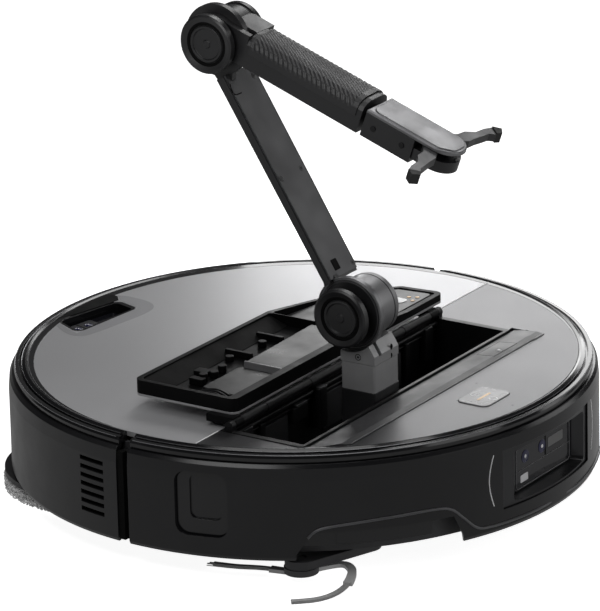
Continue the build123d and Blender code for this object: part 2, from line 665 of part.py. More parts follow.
with BuildPart() as caster_fork:
    upright(CASTER_X, 0, 18, (28, 32))
    upright(CASTER_X, 0, 5, (32, 40))
    for side in (-1, 1):
        block((CASTER_X - 14, CASTER_X + 2), sorted((side * 8.4, side * 11.4)), (8, 28))
        crosswise(CASTER_X - 6, 13, 2, (-11.4, 11.4))

with BuildPart() as caster_wheel:
    crosswise(CASTER_X - 6, 13, 13, (-8, 8))
    fillet(caster_wheel.edges().filter_by(GeomType.CIRCLE), 2)
    crosswise(CASTER_X - 6, 13, 2 + RUN_FIT, (-9, 9), Mode.SUBTRACT)


def roller(x, lead):
    """A rubber main brush with slanted blades round a core."""
    with BuildPart() as brush:
        crosswise(x, ROLLER_Z, 11, (-ROLLER_Y, ROLLER_Y))
        crosswise(x, ROLLER_Z, 3, (-ROLLER_Y - 5.5, ROLLER_Y + 5.5))
        base = Plane(origin=(x, ROLLER_Y, ROLLER_Z), x_dir=(1, 0, 0), z_dir=(0, -1, 0))
        with BuildSketch(base):
            with PolarLocations(13.6, 6, start_angle=lead):
                Rectangle(6.4, 2.2)
        extrude(amount=2 * ROLLER_Y)
    return brush


front_brush_roller = roller(ROLLER_X[1], 30)
rear_brush_roller = roller(ROLLER_X[0], 0)


def strap(points, width, z):
    """A flat strip with round ends that follows a bent line on a horizontal plane."""
    with BuildSketch(Plane.XY.offset(z)) as shape:
        for start, end in zip(points, points[1:]):
            run = Vector(end[0] - start[0], end[1] - start[1])
            with Locations(((start[0] + end[0]) / 2, (start[1] + end[1]) / 2)):
                SlotCenterToCenter(run.length, width, rotation=degrees(atan2(run.Y, run.X)))
    return shape.sketch


with BuildPart() as side_arm:
    extrude(strap([SIDE_PIVOT, SIDE_HUB], 19, 8), amount=5)
    upright(*SIDE_PIVOT, 4, (13, 26))
    upright(*SIDE_HUB, 3 + RUN_FIT, (7, 14), Mode.SUBTRACT)

with BuildPart() as side_brush_hub:
    upright(*SIDE_HUB, 10, (4.2, 7.7))
    upright(*SIDE_HUB, 3, (7.7, 12.5))

with BuildPart() as side_brush_bristles:
    upright(*SIDE_HUB, 6, (1.6, 4.2))
    for points in (
        [SIDE_HUB, (66, -144), (50, -150), (33.2, -154.0)],
        [SIDE_HUB, (93, -127), (101, -117), (109.5, -121), (116, -132),
         (120, -144), (120.5, -158), (116, -169), (106, -178.6)],
    ):
        extrude(strap(points, 3.6, 1.6), amount=2.6)


def mop_plate(side):
    """A mop carrier disc with its drive shaft."""
    with BuildPart() as plate:
        upright(MOP_CENTRE[0], side * MOP_CENTRE[1], MOP_R - 1, (9.6, 12.8))
        upright(MOP_CENTRE[0], side * MOP_CENTRE[1], 5, (12.8, 29))
    return plate


def mop_pad(side):
    """A round textile pad under its carrier."""
    with BuildPart() as pad:
        upright(MOP_CENTRE[0], side * MOP_CENTRE[1], MOP_R, (0, 9.6))
        fillet(pad.edges().group_by(Axis.Z)[-1], 2)
        fillet(pad.edges().group_by(Axis.Z)[0], 2)
    return pad


left_mop_plate = mop_plate(1)
right_mop_plate = mop_plate(-1)
left_mop_pad = mop_pad(1)
right_mop_pad = mop_pad(-1)

# ---------------------------------------------------------------- inside the body
with BuildPart() as battery_pack:
    block((-42, 12), (-90, 18), (20, 62))
    fillet(battery_pack.edges().filter_by(Axis.Z), 4)

with BuildPart() as suction_fan:
    upright(-12, 58, 28, (20, 56))
    upright(-12, 58, 16, (56, 62))

with BuildPart() as dust_bin:
    block((-150, -52), (-52, 52), (20, 60))
    block((-148, -54), (-50, 50), (22, 61), Mode.SUBTRACT)

with BuildPart() as main_board:
    block((112, 144), (-70, 70), (66, 67.6))

PIECES = {
    "chassis_tray": chassis_tray, "rear_shell": rear_shell, "front_bumper": front_bumper,
    "rim_ring": rim_ring, "side_arm_cover": side_arm_cover, "rear_deck_cover": rear_deck_cover,
    "front_deck_cover": front_deck_cover, "bay_tub": bay_tub, "bay_rail": bay_rail,
    "rail_button": rail_button, "home_button": home_button, "rear_sensor_pod": rear_sensor_pod,
    "rear_sensor_glass": rear_sensor_glass, "front_sensor_frame": front_sensor_frame,
    "front_sensor_glass": front_sensor_glass, "camera_modules": camera_modules,
    "side_sensor_windows": side_sensor_windows, "lid_skin": lid_skin, "lid_tray": lid_tray,
    "lid_hinge_arms": lid_hinge_arms, "hinge_rods": hinge_rods,
    "column_base": column_base, "gap_posts": gap_posts,
    "column_head": column_head, "shoulder_motor": shoulder_motor, "shoulder_axle": shoulder_axle,
    "shoulder_cap": shoulder_cap, "upper_link": upper_link, "upper_link_cover": upper_link_cover,
    "forearm_housing": forearm_housing, "forearm_grip_cover": forearm_grip_cover,
    "elbow_axle": elbow_axle, "elbow_cap": elbow_cap,
    "gripper_housing": gripper_housing, "gripper_top_plate": gripper_top_plate,
    "gripper_nose": gripper_nose, "finger_left": finger_left, "finger_right": finger_right,
    "finger_pad_left": finger_pad_left, "finger_pad_right": finger_pad_right,
    "left_wheel": left_wheel, "right_wheel": right_wheel, "left_tyre": left_tyre,
    "right_tyre": right_tyre, "wheel_axles": wheel_axles, "caster_fork": caster_fork,
    "caster_wheel": caster_wheel, "front_brush_roller": front_brush_roller,
    "rear_brush_roller": rear_brush_roller, "side_arm": side_arm, "side_brush_hub": side_brush_hub,
    "side_brush_bristles": side_brush_bristles, "left_mop_plate": left_mop_plate,
    "right_mop_plate": right_mop_plate, "left_mop_pad": left_mop_pad,
    "right_mop_pad": right_mop_pad, "battery_pack": battery_pack, "suction_fan": suction_fan,
    "dust_bin": dust_bin, "main_board": main_board,
}

os.makedirs("parts", exist_ok=True)
for name, piece in PIECES.items():
    piece.part.label = name
    export_step(piece.part, f"parts/{name}.step")
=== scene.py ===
import json
import math
import random

import bmesh
import bpy
from mathutils import Matrix, Vector


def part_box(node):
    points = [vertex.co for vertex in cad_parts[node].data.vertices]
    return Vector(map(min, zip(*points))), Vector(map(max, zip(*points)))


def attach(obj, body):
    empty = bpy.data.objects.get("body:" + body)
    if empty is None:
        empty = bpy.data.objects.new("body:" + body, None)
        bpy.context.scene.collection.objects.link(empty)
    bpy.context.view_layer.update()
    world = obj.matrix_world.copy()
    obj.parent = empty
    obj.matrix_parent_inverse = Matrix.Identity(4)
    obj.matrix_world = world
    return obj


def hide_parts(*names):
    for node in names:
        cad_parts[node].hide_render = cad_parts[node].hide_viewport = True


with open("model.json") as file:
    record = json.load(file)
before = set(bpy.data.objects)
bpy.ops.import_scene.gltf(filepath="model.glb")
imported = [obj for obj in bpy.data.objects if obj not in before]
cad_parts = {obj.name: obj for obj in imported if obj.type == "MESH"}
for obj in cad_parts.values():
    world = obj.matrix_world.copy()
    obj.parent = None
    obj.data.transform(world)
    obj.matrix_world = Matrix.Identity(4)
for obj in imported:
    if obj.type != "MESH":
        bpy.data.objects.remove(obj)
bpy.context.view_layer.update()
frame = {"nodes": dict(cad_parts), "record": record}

# Lengths are in millimetres unless a name says otherwise; MM turns them into the frame's metres.
MM = 0.001
NODES = frame["nodes"]
RECORD = frame["record"]


# ------------ camera, light and floor, in metres
CAMERA_TURN = math.radians(33.557)
CAMERA_RISE = math.radians(19.316)
CAMERA_ROLL = math.radians(-1.361)
CAMERA_AT = Vector((1.5933, -2.4044, 1.1168))
FOCAL_MM = 305.1


def make_camera():
    """A long lens looking down on the right front of the robot."""
    back = Vector((math.sin(CAMERA_TURN) * math.cos(CAMERA_RISE),
                   -math.cos(CAMERA_TURN) * math.cos(CAMERA_RISE), math.sin(CAMERA_RISE)))
    right = Vector((math.cos(CAMERA_TURN), math.sin(CAMERA_TURN), 0))
    up = back.cross(right)
    rolled_right = right * math.cos(CAMERA_ROLL) + up * math.sin(CAMERA_ROLL)
    rolled_up = up * math.cos(CAMERA_ROLL) - right * math.sin(CAMERA_ROLL)
    data = bpy.data.cameras.new("camera")
    data.lens = FOCAL_MM
    data.sensor_width = 36
    data.clip_end = 50
    camera = bpy.data.objects.new("camera", data)
    turn = Matrix((rolled_right, rolled_up, back)).transposed()
    camera.matrix_world = Matrix.Translation(CAMERA_AT) @ turn.to_4x4()
    bpy.context.collection.objects.link(camera)
    bpy.context.scene.camera = camera


def softbox(name, place, target, size, radiance):
    """A rectangular area light aimed at a point. Its power follows from its brightness and size."""
    data = bpy.data.lights.new(name, "AREA")
    data.shape = "RECTANGLE"
    data.size, data.size_y = size
    data.energy = radiance * math.pi * size[0] * size[1]
    lamp = bpy.data.objects.new(name, data)
    lamp.location = place
    aim = Vector(target) - Vector(place)
    lamp.rotation_euler = aim.to_track_quat("-Z", "Y").to_euler()
    lamp.visible_camera = False
    bpy.context.collection.objects.link(lamp)


def white_but_dim(tree, output, kind, white, dim):
    """Two plain shaders of one kind: one the camera sees, and a dim one that lights the robot."""
    mix = tree.nodes.new("ShaderNodeMixShader")
    path = tree.nodes.new("ShaderNodeLightPath")
    tree.links.new(path.outputs["Is Camera Ray"], mix.inputs["Fac"])
    shaders = []
    for index, strength in ((1, dim), (2, white)):
        shader = tree.nodes.new(kind)
        shader.inputs["Color"].default_value = (1, 1, 1, 1)
        shader.inputs["Strength"].default_value = strength
        tree.links.new(shader.outputs[0], mix.inputs[index])
        shaders.append(shader)
    out = tree.nodes.new(output)
    tree.links.new(mix.outputs[0], out.inputs["Surface"])
    return mix, shaders[1]


def make_world():
    """A white surround that throws only a dim light on the robot."""
    world = bpy.data.worlds.new("studio")
    bpy.context.scene.world = world
    world.use_nodes = True
    world.node_tree.nodes.clear()
    white_but_dim(world.node_tree, "ShaderNodeOutputWorld", "ShaderNodeBackground", 1.0, SURROUND_DIM)


def make_floor():
    """A plain white floor. It throws the same dim light from everywhere."""
    mesh = bpy.data.meshes.new("floor")
    corners = [(FLOOR_REACH * x, FLOOR_REACH * y, 0) for x, y in ((-1, -1), (1, -1), (1, 1), (-1, 1))]
    mesh.from_pydata(corners, [], [(0, 1, 2, 3)])
    floor = bpy.data.objects.new("floor", mesh)
    bpy.context.collection.objects.link(floor)
    material = bpy.data.materials.new("floor")
    material.use_nodes = True
    tree = material.node_tree
    tree.nodes.clear()
    mix, white = white_but_dim(tree, "ShaderNodeOutputMaterial", "ShaderNodeEmission",
                               FLOOR_WHITE, FLOOR_BOUNCE)
    pale = tree.nodes.new("ShaderNodeBsdfDiffuse")
    pale.inputs["Color"].default_value = FLOOR_COLOUR
    shaded = tree.nodes.new("ShaderNodeAddShader")
    tree.links.new(pale.outputs[0], shaded.inputs[0])
    tree.links.new(white.outputs[0], shaded.inputs[1])
    tree.links.new(shaded.outputs[0], mix.inputs[2])
    mesh.materials.append(material)


SURROUND_DIM = 0.02
FLOOR_WHITE = 0.92
FLOOR_COLOUR = (0.9, 0.9, 0.9, 1)
FLOOR_REACH = 6.0
FLOOR_BOUNCE = 0.38
make_camera()
make_world()
make_floor()
bpy.context.scene.view_settings.view_transform = "Standard"
CENTRE = (0, 0, 0.10)
softbox("back_far", (-0.75, 1.20, 0.62), CENTRE, (1.4, 0.9), 0.08)
softbox("back_near", (-0.11, 0.46, 0.21), (0.02, 0.10, 0.078), (0.42, 0.20), 3.6)
softbox("right_back", (0.85, 1.15, 0.50), (0.0, 0.0, 0.20), (0.6, 0.7), 1.6)
softbox("right_wall", (1.25, 0.10, 0.45), (0.05, -0.03, 0.10), (0.7, 0.8), 1.4)
softbox("overhead", (0.10, 0.15, 1.45), CENTRE, (0.9, 0.9), 2.2)
softbox("left_fill", (-1.1, -1.3, 0.9), CENTRE, (0.6, 0.6), 0.3)
softbox("near_fill", (0.03, -0.38, 0.42), (0.0, -0.12, 0.078), (0.25, 0.25), 3.2)
softbox("arm_top", (-0.24, 0.95, 0.98), (0.0, -0.04, 0.26), (0.5, 0.34), 5.0)


# ------------ materials
class Shader:
    """A material being put together: object coordinates, a principled shader and short node makers."""

    def __init__(self, name, rough, metallic=0.0, specular=0.5, bevel=0.0004):
        self.material = bpy.data.materials.new(name)
        self.material.use_nodes = True
        self.tree = self.material.node_tree
        self.bsdf = self.tree.nodes["Principled BSDF"]
        for socket, value in (("Roughness", rough), ("Metallic", metallic), ("Specular IOR Level", specular)):
            self.bsdf.inputs[socket].default_value = value
        self.coords = self.make("ShaderNodeTexCoord").outputs["Object"]
        self.normal = None
        if bevel > 0:
            edge = self.make("ShaderNodeBevel")
            edge.samples = 4
            edge.inputs["Radius"].default_value = bevel
            self.normal = edge.outputs["Normal"]

    def make(self, kind):
        return self.tree.nodes.new(kind)

    def link(self, source, target):
        self.tree.links.new(source, target)

    def noise(self, scale, detail):
        node = self.make("ShaderNodeTexNoise")
        node.inputs["Scale"].default_value = scale
        node.inputs["Detail"].default_value = detail
        node.inputs["Roughness"].default_value = 0.55
        self.link(self.coords, node.inputs["Vector"])
        return node.outputs["Fac"]

    def remap(self, value, low, high, start=0.3, end=0.7):
        node = self.make("ShaderNodeMapRange")
        node.inputs["From Min"].default_value = start
        node.inputs["From Max"].default_value = end
        node.inputs["To Min"].default_value = low
        node.inputs["To Max"].default_value = high
        self.link(value, node.inputs["Value"])
        return node.outputs["Result"]

    def blend(self, factor, first, second):
        """A colour between two others."""
        node = self.make("ShaderNodeMix")
        node.data_type = "RGBA"
        self.link(factor, node.inputs["Factor"])
        for name, value in (("A", first), ("B", second)):
            socket = next(s for s in node.inputs if s.name == name and s.type == "RGBA")
            socket.default_value = (*value, 1)
        return next(s for s in node.outputs if s.type == "RGBA")

    def bump(self, height, depth):
        node = self.make("ShaderNodeBump")
        node.inputs["Distance"].default_value = depth
        node.inputs["Strength"].default_value = 1.0
        self.link(height, node.inputs["Height"])
        if self.normal is not None:
            self.link(self.normal, node.inputs["Normal"])
        self.normal = node.outputs["Normal"]

    def colour(self, socket):
        self.link(socket, self.bsdf.inputs["Base Color"])

    def rough(self, socket):
        self.link(socket, self.bsdf.inputs["Roughness"])

    def done(self):
        if self.normal is not None:
            self.link(self.normal, self.bsdf.inputs["Normal"])
        return self.material


def tone(colour, gain):
    return tuple(min(1.0, c * gain) for c in colour)


def moulded(name, colour, rough, grain=2600, depth=4e-5, spread=0.10, **extra):
    """Moulded plastic: faint mottling, handling smudges in the gloss and a fine texture."""
    s = Shader(name, rough, **extra)
    cloud = s.noise(22, 4)
    s.colour(s.blend(s.remap(cloud, 0, 1), tone(colour, 0.82), tone(colour, 1.2)))
    smudge = s.noise(55, 5)
    s.rough(s.remap(smudge, max(0.04, rough - spread / 2), rough + spread))
    s.bump(s.noise(grain, 2), depth)
    return s.done()


def brushed(name, colour, rough, **extra):
    """Metal with a fine grain."""
    s = Shader(name, rough, **extra)
    s.colour(s.blend(s.remap(s.noise(900, 4), 0, 1), tone(colour, 0.90), tone(colour, 1.07)))
    s.rough(s.remap(s.noise(40, 4), rough - 0.03, rough + 0.05))
    s.bump(s.noise(2200, 2), 0.00002)
    return s.done()


def sparkle(name, colour, rough, metallic):
    """Fine bead-blasted finish with a bright speckle."""
    s = Shader(name, rough, metallic=metallic, bevel=0.0003)
    fleck = s.noise(5200, 1)
    s.colour(s.blend(s.remap(fleck, 0, 1, 0.35, 0.75), tone(colour, 0.90), tone(colour, 1.10)))
    s.rough(s.remap(s.noise(30, 3), rough - 0.01, rough + 0.015))
    s.bump(s.noise(3600, 2), 0.00003)
    return s.done()


def tinted_glass(name, colour, rough):
    """Dark smoked glass, slightly clear, with faint streaks."""
    s = Shader(name, rough, specular=0.16, bevel=0.0002)
    s.bsdf.inputs["Transmission Weight"].default_value = 0.55
    s.colour(s.blend(s.remap(s.noise(60, 3), 0, 1), colour, tone(colour, 1.5)))
    s.rough(s.remap(s.noise(90, 4), rough, rough + 0.05))
    return s.done()


# Each finish: how it is made, its colour, its roughness and what else differs from that maker's usual.
FINISHES = {
    "shell_matte": (moulded, (0.010, 0.010, 0.011), 0.34, dict(grain=1500, depth=3e-5, spread=0.05)),
    "bumper_satin": (moulded, (0.008, 0.008, 0.009), 0.22, dict(depth=4e-6, spread=0.03, specular=0.4)),
    "rim_gloss": (moulded, (0.010, 0.010, 0.011), 0.12, dict(depth=4e-6, spread=0.05)),
    "deck_silver": (sparkle, (0.44, 0.44, 0.45), 0.44, dict(metallic=0.5)),
    "deck_grey": (sparkle, (0.072, 0.072, 0.075), 0.36, dict(metallic=0.75)),
    "rail_grey": (moulded, (0.045, 0.045, 0.047), 0.40, dict(depth=1e-5, specular=0.22)),
    "bay_black": (moulded, (0.005, 0.005, 0.0055), 0.42, dict(grain=1800, depth=3e-5, specular=0.3)),
    "lid_black": (moulded, (0.004, 0.004, 0.0042), 0.42, dict(grain=2200, depth=2e-5, specular=0.07)),
    "arm_black": (moulded, (0.014, 0.014, 0.015), 0.36, dict(grain=2400, depth=2e-5)),
    "arm_grey": (moulded, (0.055, 0.055, 0.058), 0.36, dict(depth=2e-5, metallic=0.3)),
    "drum_grey": (moulded, (0.22, 0.22, 0.225), 0.38, dict(depth=1e-5, metallic=0.5)),
    "grip_ribbed": (moulded, (0.018, 0.018, 0.019), 0.42, dict(depth=2e-5)),
    "palm_grey": (moulded, (0.17, 0.17, 0.175), 0.34, dict(depth=1e-5, metallic=0.5)),
    "pad_rubber": (moulded, (0.010, 0.010, 0.010), 0.62, dict(grain=1200, depth=6e-5)),
    "tread_rubber": (moulded, (0.016, 0.016, 0.016), 0.70, dict(grain=900, depth=0.0001)),
    "steel": (brushed, (0.60, 0.60, 0.61), 0.24, dict(metallic=1.0)),
    "sensor_glass": (tinted_glass, (0.012, 0.012, 0.016), 0.06, dict()),
    "sensor_black": (moulded, (0.008, 0.008, 0.009), 0.14, dict(depth=4e-6, spread=0.05)),
    "button_gloss": (moulded, (0.17, 0.17, 0.175), 0.26, dict(depth=4e-6, specular=0.35)),
    "brush_rubber": (moulded, (0.05, 0.05, 0.052), 0.55, dict(grain=1200, depth=5e-5)),
    "bristle": (moulded, (0.50, 0.50, 0.50), 0.45, dict(grain=1200, depth=5e-5)),
    "mop_fabric": (moulded, (0.85, 0.85, 0.85), 0.90, dict(grain=700, depth=0.0003)),
    "inner_plastic": (moulded, (0.03, 0.03, 0.032), 0.50, dict(grain=1500, depth=5e-5)),
    "board_green": (moulded, (0.01, 0.06, 0.03), 0.35, dict(grain=1500, depth=3e-5)),
    "lid_plate": (moulded, (0.009, 0.009, 0.0095), 0.30, dict(grain=2400, depth=1e-5, specular=0.16)),
    # A light grey for thin lines that paint highlights along the rim's edges.
    "rim_line": (moulded, (0.22, 0.22, 0.23), 0.22, dict(depth=4e-6, metallic=0.6, bevel=0.0)),
    "column_grey": (moulded, (0.31, 0.31, 0.315), 0.38, dict(depth=2e-5, metallic=0.3)),
    # Near-black for painted shade in gaps, grooves, openings and hollows, and for a few small dark marks and
    # a split.
    "gap_black": (moulded, (0.002, 0.002, 0.002), 0.7, dict(specular=0.1)),
    # A lighter satin grey that paints a highlight along the bumper's moulded line.
    "frame_satin": (moulded, (0.10, 0.10, 0.105), 0.32, dict(depth=1e-5, metallic=0.5)),
    "frame_dark": (moulded, (0.035, 0.035, 0.037), 0.30, dict(depth=1e-5, metallic=0.5)),
    "finger_satin": (moulded, (0.05, 0.05, 0.052), 0.36, dict(depth=1e-5, metallic=0.4)),
    "dish_silver": (sparkle, (0.30, 0.30, 0.31), 0.50, dict(metallic=0.4)),
    "sensor_face": (moulded, (0.045, 0.045, 0.047), 0.30, dict(depth=1e-5, spread=0.04)),
    "amber": (moulded, (0.72, 0.46, 0.20), 0.35, dict(depth=4e-6, bevel=0.0)),
    # White for print, the lid lamp and the flash panel, and for painted highlights and glints.
    "white_mark": (moulded, (0.85, 0.85, 0.87), 0.45, dict(depth=4e-6, bevel=0.0)),
    "lamp_panel": (moulded, (0.10, 0.10, 0.10), 0.35, dict(depth=4e-6, bevel=0.0)),
    "lens_blue": (moulded, (0.02, 0.02, 0.06), 0.16,
                  dict(depth=2e-6, spread=0.04, specular=0.3, bevel=0.0)),
}
MATERIALS = {name: make(name, colour, rough, **extra)
             for name, (make, colour, rough, extra) in FINISHES.items()}

OWN_FINISH = {"column_base": "column_grey", "column_head": "column_grey", "front_sensor_frame": "frame_dark",
              "finger_left": "finger_satin", "finger_right": "finger_satin"}
for entry in RECORD["subparts"]:
    node = NODES[entry["node"]]
    finish_name = OWN_FINISH.get(entry["node"], entry["material_slot"])
    for index in range(len(node.material_slots)):
        node.material_slots[index].material = MATERIALS[finish_name]


# ------------ places
def joint_at(name):
    """A joint's place in millimetres."""
    joint = next(j for j in RECORD["behaviour"]["joints"] if j["name"] == name)
    return Vector(joint["pos_m"]) / MM


def low(node):
    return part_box(node)[0] / MM


def high(node):
    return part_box(node)[1] / MM


def axes(origin, along, across=(0, 1, 0)):
    """A local frame in millimetres: x runs along, y across, and z square to both."""
    x = Vector(along).normalized()
    y = Vector(across).normalized()
    z = x.cross(y)
    turn = Matrix((x, y, z)).transposed().to_4x4()
    return Matrix.Scale(MM, 4) @ Matrix.Translation(Vector(origin)) @ turn


ROW = Matrix.Scale(MM, 4)
ARM_Y = joint_at("shoulder_pitch").y
SHOULDER = joint_at("shoulder_pitch")
ELBOW = joint_at("elbow_pitch")
LINK_RUN = ELBOW - SHOULDER
FOREARM_TURN = math.radians(-20)
FOREARM = axes(ELBOW, (math.cos(FOREARM_TURN), 0, math.sin(FOREARM_TURN)))
SIDE_VIEW = Matrix(((1, 0, 0, 0), (0, 0, 1, 0), (0, 1, 0, 0), (0, 0, 0, 1)))
DECK_TOP = high("rear_deck_cover").z
DECK_EDGE = 162.8


def on_wall(degrees, radius, z):
    """A point on an upright cylinder about the body's axis."""
    return Vector((radius * math.cos(math.radians(degrees)), radius * math.sin(math.radians(degrees)), z))


def facing(centre, normal, up=(0, 0, 1)):
    """A local frame on a face: x to the right as seen from outside, y up and z outward."""
    z = Vector(normal).normalized()
    x = Vector(up).cross(z).normalized()
    turn = Matrix((x, z.cross(x), z)).transposed().to_4x4()
    return Matrix.Scale(MM, 4) @ Matrix.Translation(Vector(centre)) @ turn


def finish_piece(name, bm, finish, body, bevel=0.0, angle=32):
    """Turns a bmesh into a piece, with smooth faces, sharp edges where they turn, and a small bevel."""
    bmesh.ops.recalc_face_normals(bm, faces=bm.faces)
    mesh = bpy.data.meshes.new(name)
    bm.to_mesh(mesh)
    bm.free()
    obj = bpy.data.objects.new(name, mesh)
    bpy.context.collection.objects.link(obj)
    mesh.shade_smooth()
    mesh.set_sharp_from_angle(angle=math.radians(angle))
    mesh.materials.append(MATERIALS[finish])
    if bevel > 0:
        edge = obj.modifiers.new("edge", "BEVEL")
        edge.width = bevel * MM
        edge.segments = 2
        edge.limit_method = "ANGLE"
    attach(obj, body)
    return obj


def rounded(points, radius, steps=4):
    """A closed outline with its corners rounded."""
    out = []
    count = len(points)
    for index in range(count):
        corner = Vector(points[index])
        to_last = Vector(points[index - 1]) - corner
        to_next = Vector(points[(index + 1) % count]) - corner
        before, after = to_last.normalized(), to_next.normalized()
        half = before.angle(after) / 2
        reach = min(radius / math.tan(half), 0.49 * min(to_last.length, to_next.length))
        bow = reach * math.tan(half)
        centre = corner + (before + after).normalized() * (bow / math.sin(half))
        start = corner + before * reach - centre
        end = corner + after * reach - centre
        turn = start.angle_signed(end)
        for step in range(steps + 1):
            swing = -turn * step / steps
            out.append((centre.x + start.x * math.cos(swing) - start.y * math.sin(swing),
                        centre.y + start.x * math.sin(swing) + start.y * math.cos(swing)))
    return out


def rect(x, y, radius=0.0):
    """A rectangle's outline from (low, high) pairs."""
    points = [(x[0], y[0]), (x[1], y[0]), (x[1], y[1]), (x[0], y[1])]
    return rounded(points, radius) if radius > 0 else points


def arc_points(centre, radius, start, arc, steps):
    """Points along an arc, both ends included. Angles are in degrees."""
    turns = [math.radians(start + arc * step / steps) for step in range(steps + 1)]
    return [(centre[0] + radius * math.cos(turn), centre[1] + radius * math.sin(turn)) for turn in turns]


def disc(centre, radius, count=32):
    return arc_points(centre, radius, 0, 360, count)[:-1]


def ring_outline(centre, radii, arc, start, count=14):
    """A flat arc band's outline."""
    inner, outer = (arc_points(centre, radius, start, arc, count) for radius in radii)
    return outer + inner[::-1]


def add_prism(bm, outline, span, place):
    """Adds a straight-sided solid: an outline in the place's x and y, from span[0] to span[1] in z."""
    bottom = [bm.verts.new(place @ Vector((a, b, span[0]))) for a, b in outline]
    top = [bm.verts.new(place @ Vector((a, b, span[1]))) for a, b in outline]
    bm.faces.new(top)
    bm.faces.new(list(reversed(bottom)))
    for index in range(len(outline)):
        after = (index + 1) % len(outline)
        bm.faces.new((bottom[index], bottom[after], top[after], top[index]))


def prisms(name, shapes, finish, body, place=ROW, bevel=0.25):
    """One piece made of several (outline, span) solids."""
    bm = bmesh.new()
    for outline, span in shapes:
        add_prism(bm, outline, span, place)
    return finish_piece(name, bm, finish, body, bevel)


def add_turned(bm, profile, place, count=48, arc=360.0, start=0.0):
    """Adds a solid turned about the place's z from a closed (radius, height) profile."""
    steps = count if arc >= 360 else max(2, int(count * arc / 360))
    rings = []
    for step in range(steps if arc >= 360 else steps + 1):
        swing = math.radians(start + arc * step / steps)
        rings.append([bm.verts.new(place @ Vector((r * math.cos(swing), r * math.sin(swing), h)))
                      for r, h in profile])
    pairs = list(zip(rings, rings[1:]))
    if arc >= 360:
        pairs.append((rings[-1], rings[0]))
    else:
        bm.faces.new(rings[0])
        bm.faces.new(list(reversed(rings[-1])))
    for first, second in pairs:
        for index in range(len(profile)):
            after = (index + 1) % len(profile)
            bm.faces.new((first[index], first[after], second[after], second[index]))


def turned(name, profile, finish, body, place, bevel=0.0, **extra):
    """One piece turned about the place's z."""
    bm = bmesh.new()
    add_turned(bm, profile, place, **extra)
    bmesh.ops.remove_doubles(bm, verts=bm.verts, dist=1e-7)
    return finish_piece(name, bm, finish, body, bevel)


def smooth_line(points, steps=8):
    """Points along a Catmull-Rom curve through the given ones."""
    out = []
    count = len(points)
    for index in range(count - 1):
        p0 = Vector(points[max(index - 1, 0)])
        p1 = Vector(points[index])
        p2 = Vector(points[index + 1])
        p3 = Vector(points[min(index + 2, count - 1)])
        for step in range(steps):
            t = step / steps
            out.append(0.5 * (2 * p1 + (p2 - p0) * t + (2 * p0 - 5 * p1 + 4 * p2 - p3) * t * t
                              + (3 * p1 - p0 - 3 * p2 + p3) * t * t * t))
    out.append(Vector(points[-1]))
    return out


def add_rod(bm, points, radius, place=ROW, sides=8, flat=1.0):
    """Adds a closed rod along points. flat squeezes it in the direction nearest to z."""
    rings = []
    for index, point in enumerate(points):
        ahead = Vector(points[min(index + 1, len(points) - 1)]) - Vector(points[max(index - 1, 0)])
        ahead.normalize()
        helper = Vector((0, 0, 1)) if abs(ahead.z) < 0.9 else Vector((1, 0, 0))
        side = ahead.cross(helper).normalized()
        lift = side.cross(ahead)
        ring = []
        for k in range(sides):
            swing = 2 * math.pi * k / sides
            offset = side * math.cos(swing) * radius + lift * math.sin(swing) * radius * flat
            ring.append(bm.verts.new(place @ (Vector(point) + offset)))
        rings.append(ring)
    for first, second in zip(rings, rings[1:]):
        for k in range(sides):
            bm.faces.new((first[k], first[(k + 1) % sides], second[(k + 1) % sides], second[k]))
    bm.faces.new(list(reversed(rings[0])))
    bm.faces.new(rings[-1])


def rods(name, runs, finish, body, place=ROW, **extra):
    """One piece made of rods; each run is (points, radius)."""
    bm = bmesh.new()
    for points, radius in runs:
        add_rod(bm, points, radius, place, **extra)
    return finish_piece(name, bm, finish, body, angle=60)


# ------------ forearm and gripper
COVER_CROWN = [(13.7, 5.0), (13.7, 9.9), (12.6, 12.8), (9.9, 14.9), (5.8, 16.0)]
COVER_RUN = (24.0, 101.0)
RIB_PITCH = 3.4
RIB_LEAN = 1.6
RIB_DEPTH = 0.36
COVER_WALL = 0.9
SIDES = (("right", -1), ("left", 1))
GRIPPER_HALF = 13.0
FOREARM_HALF = 13.1


def clamped(share):
    return min(1.0, max(0.0, share))


def crown_point(u):
    """A point on the cover's section at a share u of the way round, with its slope's normal."""
    right = [Vector((t, h)) for t, h in COVER_CROWN]
    line = right + [Vector((-p.x, p.y)) for p in reversed(right)]
    lengths = [(b - a).length for a, b in zip(line, line[1:])]
    left = u * sum(lengths)
    for a, b, length in zip(line, line[1:], lengths):
        if left <= length or b is line[-1]:
            ahead = (b - a).normalized()
            return a + ahead * min(left, length), Vector((ahead.y, -ahead.x))
        left -= length


